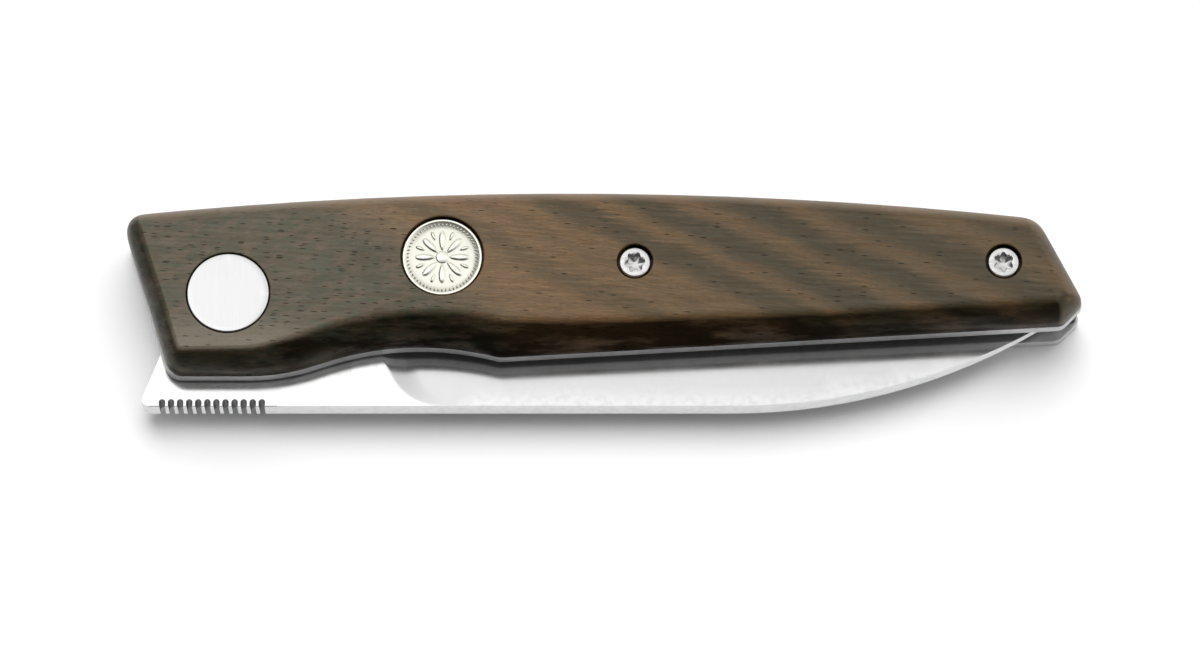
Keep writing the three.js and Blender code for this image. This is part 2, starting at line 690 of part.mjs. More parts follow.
function backSpacer() {
  const x = MID_SCREW_X;
  const half = STANDOFF_RADIUS + SPACER_LOBE_WALL;
  const web = rectangle(x - half, x + half, SCREW_Y, backHeight(x) - SPACER_WIDTH);
  let spacer = prism(outline(handleCorners(straightMouth()), SPACER_INSET), PLATE_TOP, LINER_BOTTOM)
    .intersect(prism(spacerRoom(), 0, SCALE_TOP))
    .add(prism(web, PLATE_TOP, LINER_BOTTOM))
    .add(rod(half, PLATE_TOP, LINER_BOTTOM, x, SCREW_Y));
  for (const screwX of Object.values(SCREW_XS)) {
    spacer = spacer.subtract(rod(STANDOFF_RADIUS + FIT, 0, SCALE_TOP, screwX, SCREW_Y));
  }
  return spacer;
}

// The assembly: one group for each rigid body, every piece a mesh of its own
function meshOf(name, solid, material, x = 0, y = 0) {
  const { vertProperties, triVerts } = solid.getMesh();
  const geometry = new THREE.BufferGeometry();
  geometry.setAttribute('position', new THREE.BufferAttribute(vertProperties, 3));
  geometry.setIndex(new THREE.BufferAttribute(triVerts, 1));
  geometry.computeVertexNormals();
  const mesh = new THREE.Mesh(geometry, material);
  mesh.name = name;
  mesh.position.set(x, y, 0);
  return mesh;
}

function handleGroup() {
  const { mirror, satin, screw, bronze, nickel, spacer, wood } = MATERIALS;
  const handle = new THREE.Group();
  const pin = stopPinCentre();
  handle.add(
    meshOf('rear_plate', rearPlate(), satin),
    meshOf('front_liner', frontLiner(), satin),
    meshOf('front_scale', frontScale(), wood),
    meshOf('back_spacer', backSpacer(), spacer),
    meshOf('medallion', medallion(), nickel, MEDALLION_X, MEDALLION_Y),
    meshOf('stop_pin', stopPin(), screw, pin.x, pin.y),
    meshOf('pivot_barrel', pivotBarrel(), mirror),
    meshOf('pivot_screw', pivotScrew(), screw),
    meshOf('pivot_bushing', tube(BUSHING_RADIUS, BARREL_RADIUS + FIT, PLATE_TOP, LINER_BOTTOM), bronze),
    meshOf('rear_washer', washer(PLATE_TOP), bronze),
    meshOf('front_washer', washer(LINER_BOTTOM - WASHER_THICKNESS), bronze),
  );
  for (const [place, x] of Object.entries(SCREW_XS)) {
    handle.add(
      meshOf(`${place}_standoff`, standoff(), screw, x, SCREW_Y),
      meshOf(`front_${place}_screw`, frontScrew(), screw, x, SCREW_Y),
      meshOf(`rear_${place}_screw`, rearScrew(), screw, x, SCREW_Y),
    );
  }
  return handle;
}

function lockGroup() {
  const lock = new THREE.Group();
  const ball = detentPlace();
  lock.add(
    meshOf('lock_bar', lockBar(), MATERIALS.satin),
    meshOf('detent_ball', detentBall(), MATERIALS.screw, ball.x, ball.y),
  );
  return lock;
}

const knife = new THREE.Group();
knife.add(handleGroup(), lockGroup(), meshOf('blade', blade(), MATERIALS.mirror));

// The knife stands on its rear face, with the origin under the middle of its outline
const bounds = new THREE.Box3().setFromObject(knife, true);
const middle = bounds.getCenter(new THREE.Vector3());
knife.position.set(-middle.x, -middle.y, -bounds.min.z);
knife.updateMatrixWorld(true);

export default knife;
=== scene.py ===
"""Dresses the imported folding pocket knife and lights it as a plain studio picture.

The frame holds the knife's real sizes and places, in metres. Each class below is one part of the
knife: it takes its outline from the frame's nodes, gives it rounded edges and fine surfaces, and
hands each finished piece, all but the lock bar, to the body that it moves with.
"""

import logging
import math
from dataclasses import dataclass, field, replace
from enum import Enum
from functools import partial, reduce

import bmesh
import bpy
import numpy as np
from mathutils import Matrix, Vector
from mathutils.geometry import delaunay_2d_cdt, tessellate_polygon


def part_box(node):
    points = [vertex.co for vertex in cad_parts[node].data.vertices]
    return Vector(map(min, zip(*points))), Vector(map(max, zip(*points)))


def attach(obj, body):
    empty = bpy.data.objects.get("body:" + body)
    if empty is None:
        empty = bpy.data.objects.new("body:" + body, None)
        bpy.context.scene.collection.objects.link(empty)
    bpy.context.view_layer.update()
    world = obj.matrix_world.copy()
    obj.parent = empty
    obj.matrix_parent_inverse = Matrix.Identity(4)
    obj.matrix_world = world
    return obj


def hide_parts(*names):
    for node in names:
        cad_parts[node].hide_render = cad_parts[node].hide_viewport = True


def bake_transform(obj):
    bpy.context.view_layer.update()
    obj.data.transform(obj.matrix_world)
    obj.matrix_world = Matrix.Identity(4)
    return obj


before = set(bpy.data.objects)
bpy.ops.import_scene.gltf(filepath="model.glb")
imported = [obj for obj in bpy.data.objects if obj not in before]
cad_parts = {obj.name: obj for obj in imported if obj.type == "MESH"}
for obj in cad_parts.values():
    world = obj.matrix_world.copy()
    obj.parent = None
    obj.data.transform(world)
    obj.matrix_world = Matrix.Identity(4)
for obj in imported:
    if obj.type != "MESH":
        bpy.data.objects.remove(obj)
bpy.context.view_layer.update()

LOG = logging.getLogger("pocket knife")

MM = 0.001
WELD = 0.001 * MM
ROUND_ANGLES = np.linspace(0, 2 * math.pi, 96, endpoint=False)
PHOTO_WIDTH = 1200

Piece = bpy.types.Object
Socket = bpy.types.NodeSocket
Pair = tuple[float, float]
Colour = tuple[float, float, float, float]


class Body(Enum):
    """The bodies that the frame moves."""

    HANDLE = "handle"
    LOCK_BAR = "lock_bar"
    BLADE = "blade"


class Slot(Enum):
    """The material slots of the record."""

    WOOD = "dark_wood"
    PLATE = "plate_steel"
    BLADE = "blade_steel"
    POLISHED = "polished_steel"
    SCREW = "screw_steel"
    NICKEL = "nickel_silver"
    BRONZE = "bronze"
    SPACER = "black_spacer"


# Outlines

def section(node: str, height: float) -> list[np.ndarray]:
    """Cuts a node of the frame with a level plane.

    Args:
        node: Name of the node.
        height: Height of the plane above the rear face, in metres.

    Returns:
        The closed loops of the cut, largest first, as rows of x and y, counterclockwise. Each
        starts at the same point in every run.
    """
    cut = bmesh.new()
    cut.from_mesh(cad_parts[node].data)
    bmesh.ops.remove_doubles(cut, verts=cut.verts, dist=WELD)
    everything = cut.verts[:] + cut.edges[:] + cut.faces[:]
    bmesh.ops.bisect_plane(
        cut, geom=everything, dist=WELD / 10, plane_co=(0, 0, height), plane_no=(0, 0, 1),
        clear_inner=True, clear_outer=True,
    )
    loops = []
    unused = dict.fromkeys(cut.verts)
    while unused:
        walk = [unused.popitem()[0]]
        while True:
            ahead = [e.other_vert(walk[-1]) for e in walk[-1].link_edges]
            ahead = [v for v in ahead if v in unused]
            if not ahead:
                break
            del unused[ahead[0]]
            walk.append(ahead[0])
        loops.append(straightened(np.array([v.co[:2] for v in walk])))
    cut.free()
    return sorted(loops, key=lambda loop: -signed_area(loop))


def signed_area(loop: np.ndarray) -> float:
    """Area inside a closed loop, positive where it runs counterclockwise."""
    after = np.roll(loop, -1, axis=0)
    return float((loop[:, 0] * after[:, 1] - loop[:, 1] * after[:, 0]).sum() / 2)


def straightened(loop: np.ndarray) -> np.ndarray:
    """Turns a loop counterclockwise and drops the points that lie on a straight line.

    Args:
        loop: Rows of x and y.

    Returns:
        The loop with only the points where it turns.
    """
    if signed_area(loop) < 0:
        loop = loop[::-1]
    into = loop - np.roll(loop, 1, axis=0)
    out = np.roll(loop, -1, axis=0) - loop
    turn = into[:, 0] * out[:, 1] - into[:, 1] * out[:, 0]
    span = np.linalg.norm(into, axis=1) * np.linalg.norm(out, axis=1)
    return loop[np.abs(turn) > span * 1e-4]


def evened(loop: np.ndarray, step: float, passes: int) -> np.ndarray:
    """Spaces points evenly along a loop and smooths the facets out of it.

    Args:
        loop: Rows of x and y.
        step: Distance between points, in metres.
        passes: How often each point is averaged with its neighbours.

    Returns:
        The new loop.
    """
    closed = np.vstack([loop, loop[:1]])
    lengths = np.linalg.norm(np.diff(closed, axis=0), axis=1)
    along = np.concatenate([[0.0], np.cumsum(lengths)])
    places = np.linspace(0, along[-1], int(along[-1] / step), endpoint=False)
    even = np.stack([np.interp(places, along, closed[:, axis]) for axis in (0, 1)], axis=1)
    return eased(even, passes)


def eased(values: np.ndarray, passes: int = 16) -> np.ndarray:
    """Averages the values of each point of a loop with its neighbours'.

    Args:
        values: One value or one row for each point.
        passes: How often they are averaged.

    Returns:
        The new values.
    """
    for _ in range(passes):
        values = (np.roll(values, 1, axis=0) + 2 * values + np.roll(values, -1, axis=0)) / 4
    return values


def inward(loop: np.ndarray) -> np.ndarray:
    """Unit directions that point from each point of a counterclockwise loop to its inside."""
    along = np.roll(loop, -1, axis=0) - np.roll(loop, 1, axis=0)
    return along[:, ::-1] * (-1, 1) / np.linalg.norm(along, axis=1, keepdims=True)


def inset(loop: np.ndarray, depth: np.ndarray) -> np.ndarray:
    """Moves each point of a loop inwards and heals the folds that this makes at tight corners.

    Args:
        loop: Rows of x and y, counterclockwise.
        depth: How far each point moves, in metres.

    Returns:
        The moved loop, with as many points.
    """
    moved = loop + inward(loop) * depth[:, None]
    places = np.arange(len(loop))
    apart = np.abs(places[:, None] - places[None, :])
    near = np.minimum(apart, len(loop) - apart) < 3
    gaps = np.linalg.norm(moved[:, None, :] - loop[None, :, :], axis=2)
    sound = (near | (gaps >= 0.99 * depth[None, :] - WELD)).all(axis=1)
    steps, moved_steps = (np.roll(rows, -1, axis=0) - rows for rows in (loop, moved))
    onward = (steps * moved_steps).sum(axis=1) > 0
    sound &= onward & np.roll(onward, 1)
    if sound.all():
        return moved
    kept = places[sound]
    wrapped = np.concatenate([[kept[-1] - len(loop)], kept, [kept[0] + len(loop)]])
    healed = moved[wrapped % len(loop)]
    return np.stack([np.interp(places, wrapped, healed[:, axis]) for axis in (0, 1)], axis=1)


def circle(x: float, y: float, radius: float) -> np.ndarray:
    """Points of a circle about x and y, counterclockwise."""
    return np.stack([x + radius * np.cos(ROUND_ANGLES), y + radius * np.sin(ROUND_ANGLES)], axis=1)


def six_lobes(radius: float, lobe: float) -> np.ndarray:
    """Outline of a six-lobe socket whose waves reach a lobe to each side of the radius."""
    reach = radius + lobe * np.cos(6 * ROUND_ANGLES)
    return np.stack([reach * np.cos(ROUND_ANGLES), reach * np.sin(ROUND_ANGLES)], axis=1)


def centre_of(node: str) -> Pair:
    """The middle of a node's box in x and y."""
    low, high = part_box(node)
    return ((low.x + high.x) / 2, (low.y + high.y) / 2)


# Where the blade turns, in x and y
PIVOT = np.array(centre_of("pivot_barrel"))


def is_round(loop: np.ndarray) -> bool:
    """True for a loop whose points all lie one radius from its middle."""
    reach = np.linalg.norm(loop - loop.mean(axis=0), axis=1)
    return bool(np.ptp(reach) < 0.05 * reach.mean())


def fitted_circle(loop: np.ndarray) -> tuple[float, float, float]:
    """The centre and the radius of a round loop."""
    x, y = (loop.max(axis=0) + loop.min(axis=0)) / 2
    return x, y, float(np.linalg.norm(loop - (x, y), axis=1).mean())


def inside(points: np.ndarray, loop: np.ndarray) -> np.ndarray:
    """Tests which points lie inside a closed loop.

    Args:
        points: Rows of x and y.
        loop: Rows of x and y.

    Returns:
        One true or false for each point.
    """
    found = np.zeros(len(points), bool)
    x, y = points[:, 0], points[:, 1]
    for (x0, y0), (x1, y1) in zip(loop, np.roll(loop, -1, axis=0)):
        crosses = (y0 > y) != (y1 > y)
        if y0 != y1:
            found ^= crosses & (x < (x1 - x0) * (y - y0) / (y1 - y0) + x0)
    return found


# Meshes

class Draft:
    """Gathers rings of points and the faces between them, and makes them one closed mesh."""

    def __init__(self) -> None:
        """Starts with nothing."""
        self.points: list[tuple[float, float, float]] = []
        self.faces: list[tuple[int, ...]] = []

    def ring(self, outline: np.ndarray, heights: float | np.ndarray) -> list[int]:
        """Adds one point for each row of an outline.

        Args:
            outline: Rows of x and y.
            heights: One height for all points, or one for each.

        Returns:
            The new points' numbers.
        """
        first = len(self.points)
        levels = np.broadcast_to(heights, len(outline))
        for (x, y), z in zip(outline, levels):
            self.points.append((float(x), float(y), float(z)))
        return list(range(first, len(self.points)))

    def bridge(self, one: list[int], other: list[int]) -> None:
        """Joins two rings of equal length with a band of faces."""
        self.faces.extend(zip(one, one[1:] + one[:1], other[1:] + other[:1], other))

    def stack(self, rings: list[list[int]]) -> None:
        """Bridges each ring with the next."""
        for one, other in zip(rings, rings[1:]):
            self.bridge(one, other)

    def pole(self, ring: list[int], height: float) -> None:
        """Closes a ring with a fan to a point over or under its middle.

        Args:
            ring: The points' numbers.
            height: Height of the fan's tip.
        """
        x, y, _ = np.mean([self.points[i] for i in ring], axis=0)
        tip = len(self.points)
        self.points.append((float(x), float(y), height))
        self.faces.extend((a, b, tip) for a, b in zip(ring, ring[1:] + ring[:1]))

    def cap(self, rings: list[list[int]]) -> None:
        """Fills the level area between an outer ring and the rings of its holes.

        Args:
            rings: The outer ring's points and then each hole's.
        """
        order = [i for ring in rings for i in ring]
        outlines = [[Vector((*self.points[i][:2], 0)) for i in ring] for ring in rings]
        for triangle in tessellate_polygon(outlines):
            self.faces.append(tuple(order[i] for i in triangle))

    def build(self, name: str) -> Piece:
        """Makes the object, with doubles merged and faces pointing out.

        Args:
            name: Name of the new object.

        Returns:
            The object, linked to the scene.
        """
        mesh = bpy.data.meshes.new(name)
        mesh.from_pydata(self.points, [], self.faces)
        solid = bmesh.new()
        solid.from_mesh(mesh)
        bmesh.ops.remove_doubles(solid, verts=solid.verts, dist=WELD)
        bmesh.ops.dissolve_degenerate(solid, edges=solid.edges, dist=WELD)
        bmesh.ops.recalc_face_normals(solid, faces=solid.faces)
        solid.to_mesh(mesh)
        solid.free()
        return linked(name, mesh)


def linked(name: str, mesh: bpy.types.Mesh) -> Piece:
    """Puts a mesh into the scene.

    Args:
        name: Name of the new object.
        mesh: Its mesh.

    Returns:
        The object.
    """
    piece = bpy.data.objects.new(name, mesh)
    bpy.context.scene.collection.objects.link(piece)
    return piece


def baked(piece: Piece) -> Piece:
    """Turns an object's modifiers into a plain mesh and removes them.

    Args:
        piece: The object, whose modifiers are all live.

    Returns:
        The same object, with its new mesh.
    """
    evaluated = piece.evaluated_get(bpy.context.evaluated_depsgraph_get())
    mesh = bpy.data.meshes.new_from_object(evaluated)
    piece.modifiers.clear()
    piece.data = mesh
    mesh.name = piece.name
    return piece


def shaded(piece: Piece, sharp_degrees: float = 38) -> Piece:
    """Shades a piece smooth, keeps its sharp edges, and lets its large flat faces stay flat.

    Args:
        piece: The object.
        sharp_degrees: Angle between faces from which their edge stays sharp.

    Returns:
        The same object.
    """
    piece.data.shade_smooth()
    piece.data.set_sharp_from_angle(angle=math.radians(sharp_degrees))
    weighted = piece.modifiers.new("flat faces", "WEIGHTED_NORMAL")
    weighted.keep_sharp = True
    return baked(piece)


def softened(node: str, name: str, radius: float) -> Piece:
    """Copies a node of the frame, merges it, and rounds its sharp edges.

    Args:
        node: Name of the node.
        name: Name of the new piece.
        radius: Width of the rounding, in metres.

    Returns:
        The new piece.
    """
    mesh = bpy.data.meshes.new(name)
    solid = bmesh.new()
    solid.from_mesh(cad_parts[node].data)
    bmesh.ops.remove_doubles(solid, verts=solid.verts, dist=WELD)
    bmesh.ops.dissolve_limit(
        solid, angle_limit=math.radians(0.3), verts=solid.verts, edges=solid.edges,
    )
    solid.to_mesh(mesh)
    solid.free()
    piece = linked(name, mesh)
    rounding = piece.modifiers.new("rounded edges", "BEVEL")
    rounding.width = radius
    rounding.segments = 2
    rounding.limit_method = "ANGLE"
    rounding.angle_limit = math.radians(35)
    rounding.miter_outer = "MITER_ARC"
    return shaded(baked(piece))


def turned(name: str, profile: list[Pair], place: Pair = (0, 0)) -> Piece:
    """Turns a profile about an upright axis.

    Args:
        name: Name of the new piece.
        profile: Pairs of radius and height that start and end on the axis.
        place: Where the axis stands.

    Returns:
        The new piece.
    """
    draft = Draft()
    rings = [draft.ring(circle(*place, radius), height) for radius, height in profile[1:-1]]
    draft.stack(rings)
    draft.pole(rings[0], profile[0][1])
    draft.pole(rings[-1], profile[-1][1])
    return shaded(draft.build(name))


def rounded_corner(radius: float, height: float, rounding: float, down: bool) -> list[Pair]:
    """Profile points of the rounding between a flat end and an upright side.

    Args:
        radius: Radius of the side.
        height: Height of the flat end.
        rounding: Radius of the rounding.
        down: True where the profile leaves the flat end downwards.

    Returns:
        Pairs of radius and height, from the flat end to the side.
    """
    fall = -1 if down else 1
    steps = 4
    points = []
    for i in range(steps + 1):
        angle = math.pi / 2 * i / steps
        out = radius - rounding + rounding * math.sin(angle)
        points.append((out, height + fall * rounding * (1 - math.cos(angle))))
    return points


# Node trees

class Bench:
    """A node tree, with short calls to add and join its nodes."""

    def __init__(self, tree: bpy.types.NodeTree) -> None:
        """Keeps the tree that the calls work on."""
        self.tree = tree

    def plug(self, socket: Socket, value: object) -> None:
        """Joins an output to an input, or sets the input to a plain value.

        Args:
            socket: The input.
            value: The output or the plain value.
        """
        if isinstance(value, Socket):
            self.tree.links.new(value, socket)
        else:
            socket.default_value = value

    def add(self, kind: str, inputs: dict | None = None, **values: object) -> bpy.types.Node:
        """Adds a node.

        Args:
            kind: Type of the node.
            inputs: For each input's name or number, a plain value or an output to join.
            **values: Properties to set.

        Returns:
            The node.
        """
        node = self.tree.nodes.new(kind)
        for name, value in values.items():
            setattr(node, name, value)
        for name, value in (inputs or {}).items():
            self.plug(node.inputs[name], value)
        return node

    def math(self, operation: str, *values: object) -> Socket:
        """The result of a math node for outputs and plain numbers."""
        node = self.add("ShaderNodeMath", dict(enumerate(values)), operation=operation)
        return node.outputs[0]

    def times(self, *values: object) -> Socket:
        """The product of outputs and plain numbers."""
        return reduce(partial(self.math, "MULTIPLY"), values)

    def most(self, *values: object) -> Socket:
        """The largest of outputs and plain numbers."""
        return reduce(partial(self.math, "MAXIMUM"), values)

    def split(self, vector: Socket) -> tuple[Socket, ...]:
        """The x, y and z of a vector."""
        return tuple(self.add("ShaderNodeSeparateXYZ", {"Vector": vector}).outputs)


class CopyTree(Bench):
    """A Geometry Nodes tree that makes copies of a shape."""

    def __init__(self, name: str, sizes: dict[str, str]) -> None:
        """Makes an empty tree with a geometry input, named sizes and a material.

        Args:
            name: Name of the tree.
            sizes: Name of each input, and the type of its socket.
        """
        super().__init__(bpy.data.node_groups.new(name, "GeometryNodeTree"))
        face = self.tree.interface
        for label, kind in {"Geometry": "Geometry", **sizes, "Material": "Material"}.items():
            face.new_socket(label, in_out="INPUT", socket_type=f"NodeSocket{kind}")
        face.new_socket("Geometry", in_out="OUTPUT", socket_type="NodeSocketGeometry")
        self.given = self.add("NodeGroupInput").outputs

    def finish(self, points: Socket, turn: Socket) -> None:
        """Ends the tree with a copy on each point, made real and given its material.

        Args:
            points: The mesh whose points carry the copies.
            turn: How far each copy is turned about the upright axis.
        """
        upright = self.add("ShaderNodeCombineXYZ", {"Z": turn})
        copies = self.add("GeometryNodeInstanceOnPoints", {
            "Points": points, "Instance": self.given["Geometry"],
            "Rotation": upright.outputs["Vector"],
        })
        real = self.add("GeometryNodeRealizeInstances", {"Geometry": copies.outputs["Instances"]})
        finished = self.add("GeometryNodeSetMaterial", {
            "Geometry": real.outputs["Geometry"], "Material": self.given["Material"],
        })
        self.add("NodeGroupOutput", {"Geometry": finished.outputs["Geometry"]})

    def apply(self, piece: Piece, **sizes: object) -> Piece:
        """Runs the tree on a piece and bakes the result.

        Args:
            piece: The object that holds one copy of the shape.
            **sizes: Values of the tree's inputs, with spaces in their names as underscores.

        Returns:
            The same object, holding all copies.
        """
        modifier = piece.modifiers.new(self.tree.name, "NODES")
        modifier.node_group = self.tree
        wanted = {name.replace("_", " "): value for name, value in sizes.items()}
        for item in self.tree.interface.items_tree:
            if item.item_type == "SOCKET" and item.in_out == "INPUT" and item.name in wanted:
                modifier[item.identifier] = wanted[item.name]
        return baked(piece)


def line_tree() -> CopyTree:
    """Copies a shape along a straight line, each copy turned a little further.

    Returns:
        The tree, with inputs Count, Start, Spacing, First turn and Turn.
    """
    tree = CopyTree("copies in a line", {
        "Count": "Int", "Start": "Vector", "Spacing": "Vector", "First turn": "Float",
        "Turn": "Float",
    })
    given = tree.given
    line = tree.add("GeometryNodeMeshLine", {
        "Count": given["Count"], "Start Location": given["Start"], "Offset": given["Spacing"],
    }, mode="OFFSET")
    index = tree.add("GeometryNodeInputIndex").outputs["Index"]
    turn = tree.math("MULTIPLY_ADD", index, given["Turn"], given["First turn"])
    tree.finish(line.outputs["Mesh"], turn)
    return tree


def wreath_tree() -> CopyTree:
    """Copies a shape round a circle, each copy turned to face outwards.

    Returns:
        The tree, with inputs Count, Radius, Centre and First turn.
    """
    tree = CopyTree("copies in a wreath", {
        "Count": "Int", "Radius": "Float", "Centre": "Vector", "First turn": "Float",
    })
    given = tree.given
    ring = tree.add("GeometryNodeMeshCircle", {
        "Vertices": given["Count"], "Radius": given["Radius"],
    }, fill_type="NONE")
    spin = tree.add("ShaderNodeCombineXYZ", {"Z": given["First turn"]})
    placed = tree.add("GeometryNodeTransform", {
        "Geometry": ring.outputs["Mesh"], "Translation": given["Centre"],
        "Rotation": spin.outputs["Vector"],
    })
    index = tree.add("GeometryNodeInputIndex").outputs["Index"]
    share = tree.math("DIVIDE", index, given["Count"])
    turn = tree.math("MULTIPLY_ADD", share, 2 * math.pi, given["First turn"])
    tree.finish(placed.outputs["Geometry"], turn)
    return tree


# Finishes

class ShadingBench(Bench):
    """A bench for shading, with calls for ramps, noises and mixed colours."""

    def ramp(
        self, value: Socket, low: float, high: float, start: float = 0, end: float = 1,
    ) -> Socket:
        """Maps a value smoothly from one span to another, and holds it at the ends.

        Args:
            value: The value to map.
            low: Where the span starts.
            high: Where the span ends.
            start: Result at low.
            end: Result at high.

        Returns:
            The output.
        """
        node = self.add("ShaderNodeMapRange", {
            "Value": value, "From Min": low, "From Max": high, "To Min": start, "To Max": end,
        }, interpolation_type="SMOOTHSTEP")
        return node.outputs["Result"]

    def noise(
        self, place: Socket, scale: float, detail: float = 3, roughness: float = 0.5,
    ) -> Socket:
        """A noise between 0 and 1.

        Args:
            place: Coordinates.
            scale: Features for each unit of the coordinates.
            detail: Number of finer layers.
            roughness: Weight of the finer layers.

        Returns:
            The output.
        """
        node = self.add("ShaderNodeTexNoise", {
            "Vector": place, "Scale": scale, "Detail": detail, "Roughness": roughness,
        })
        return node.outputs["Fac"]

    def stretched(
        self, place: Socket, scale: tuple[float, float, float], turn_degrees: float = 0,
    ) -> Socket:
        """Coordinates turned about the upright axis and then scaled along each axis.

        Args:
            place: Coordinates.
            scale: Factor along each axis.
            turn_degrees: Turn before the scaling.

        Returns:
            The output.
        """
        spun = self.add("ShaderNodeMapping", {
            "Vector": place, "Rotation": (0, 0, math.radians(-turn_degrees)),
        }, vector_type="POINT")
        sized = self.add("ShaderNodeMapping", {
            "Vector": spun.outputs["Vector"], "Scale": scale,
        }, vector_type="POINT")
        return sized.outputs["Vector"]

    def mix(self, share: Socket, one: object, other: object) -> Socket:
        """Mixes one colour with another, by a share of the other."""
        node = self.add("ShaderNodeMix", {0: share, 6: one, 7: other}, data_type="RGBA")
        return node.outputs[2]


def grey(level: float) -> Colour:
    """A neutral colour."""
    return (level, level, level, 1.0)


def lit(colour: Colour, factor: float, lift: float = 0) -> Colour:
    """A colour made lighter or darker, and no lighter than white."""
    return (*(min(1.0, factor * value + lift) for value in colour[:3]), 1.0)


def painted(red: int, green: int, blue: int) -> Colour:
    """A colour given as it shows on a screen, from 0 to 255, as light levels.

    Args:
        red: Red.
        green: Green.
        blue: Blue.

    Returns:
        The colour for a shader's socket.
    """
    shares = [value / 255 for value in (red, green, blue)]
    levels = [s / 12.92 if s <= 0.04045 else ((s + 0.055) / 1.055) ** 2.4 for s in shares]
    return (*levels, 1.0)


class SharedEffects:
    """The shading effects that several finishes use, each built once as a node group."""

    def __init__(self) -> None:
        """Builds the groups."""
        self.lines = self._lines()
        self.marks = self._marks()
        self.rubbed_and_back_light = self._rubbed()

    def _group(self, name: str, sizes: list[str], results: list[str]) -> ShadingBench:
        """An empty group with a place input, named sizes and named results.

        Args:
            name: Name of the group.
            sizes: Names of the sizes.
            results: Names of the results.

        Returns:
            The group on its bench.
        """
        group = bpy.data.node_groups.new(name, "ShaderNodeTree")
        face = group.interface
        face.new_socket("Place", in_out="INPUT", socket_type="NodeSocketVector")
        for label in sizes:
            face.new_socket(label, in_out="INPUT", socket_type="NodeSocketFloat")
        for label in results:
            face.new_socket(label, in_out="OUTPUT", socket_type="NodeSocketFloat")
        return ShadingBench(group)

    def _lines(self) -> bpy.types.NodeTree:
        """Fine lines left by a belt or a brush, along the place's x axis.

        Returns:
            The group: Place and Fineness in, Value out.
        """
        bench = self._group("belt lines", ["Fineness"], ["Value"])
        given = bench.add("NodeGroupInput").outputs
        fineness = given["Fineness"]
        scale = bench.add("ShaderNodeCombineXYZ", {"X": 0.15, "Y": fineness, "Z": fineness})
        placed = bench.add("ShaderNodeVectorMath", {
            0: given["Place"], 1: scale.outputs["Vector"],
        }, operation="MULTIPLY")
        bench.add("NodeGroupOutput", {
            "Value": bench.noise(placed.outputs["Vector"], 1.0, 4, 0.65),
        })
        return bench.tree

    def _marks(self) -> bpy.types.NodeTree:
        """Handling marks: cloudy smears, and a few hair-thin scratches that cross them.

        Returns:
            The group: Place and Density in, Smear and Scratch out.
        """
        bench = self._group("handling marks", ["Density"], ["Smear", "Scratch"])
        given = bench.add("NodeGroupInput").outputs
        place = given["Place"]
        smear = bench.ramp(bench.noise(place, 0.16, 4, 0.6), 0.35, 0.7)
        found = []
        for turn in (17, -38, 71):
            wave = bench.noise(bench.stretched(place, (0.05, 1.6, 1.6), turn), 1.4, 1, 0.4)
            ridge = bench.math("ABSOLUTE", bench.math("SUBTRACT", wave, 0.5))
            line = bench.ramp(ridge, 0.0, 0.006, 1, 0)
            patch = bench.ramp(bench.noise(place, 0.4 + 0.001 * turn, 1), 0.5, 0.62)
            found.append(bench.times(line, patch))
        scratch = bench.times(bench.most(*found), given["Density"])
        bench.add("NodeGroupOutput", {"Smear": smear, "Scratch": scratch})
        return bench.tree

    def _rubbed(self) -> bpy.types.NodeTree:
        """Edges where hands and cloth rub.

        Returns:
            The group: Place in, Edge out.
        """
        bench = self._group("rubbed edges", [], ["Edge"])
        given = bench.add("NodeGroupInput").outputs
        shape = bench.add("ShaderNodeNewGeometry")
        bare = bench.add("ShaderNodeMapRange", {
            "Value": shape.outputs["Pointiness"], "From Min": 0.505, "From Max": 0.54,
        })
        broken = bench.ramp(bench.noise(given["Place"], 1.2, 3), 0.3, 0.6, 0.35, 1)
        bench.add("NodeGroupOutput", {"Edge": bench.times(bare.outputs["Result"], broken)})
        return bench.tree


EFFECTS = SharedEffects()


class Surface(ShadingBench):
    """A material with its Principled shader and its place on the knife in millimetres."""

    def __init__(self, name: str) -> None:
        """Makes the material.

        Args:
            name: Name of the material.
        """
        self.material = bpy.data.materials.new(name)
        self.material.use_nodes = True
        super().__init__(self.material.node_tree)
        self.tree.nodes.clear()
        self.shader = self.add("ShaderNodeBsdfPrincipled")
        self.add("ShaderNodeOutputMaterial", {"Surface": self.shader.outputs["BSDF"]})
        where = self.add("ShaderNodeTexCoord")
        scaled = self.add("ShaderNodeMapping", {
            "Vector": where.outputs["Object"], "Scale": (1 / MM, 1 / MM, 1 / MM),
        }, vector_type="POINT")
        self.place = scaled.outputs["Vector"]
        self.facing = where.outputs["Normal"]

    def effect(self, group: bpy.types.NodeTree, **sizes: object) -> bpy.types.Node:
        """The node of one of the shared effects, with values or outputs for its inputs."""
        return self.add("ShaderNodeGroup", {"Place": self.place, **sizes}, node_tree=group)

    def feed(self, name: str, value: object) -> None:
        """Sets or joins one of the shader's sockets."""
        self.plug(self.shader.inputs[name], value)

    def bump(self, height: Socket, depth: float, strength: float) -> None:
        """Feeds the shader's normal from a height.

        Args:
            height: Height from 0 to 1.
            depth: What a height of 1 stands for, in metres.
            strength: How strongly it shows.
        """
        node = self.add("ShaderNodeBump", {
            "Height": height, "Distance": depth, "Strength": strength,
        })
        self.feed("Normal", node.outputs["Normal"])


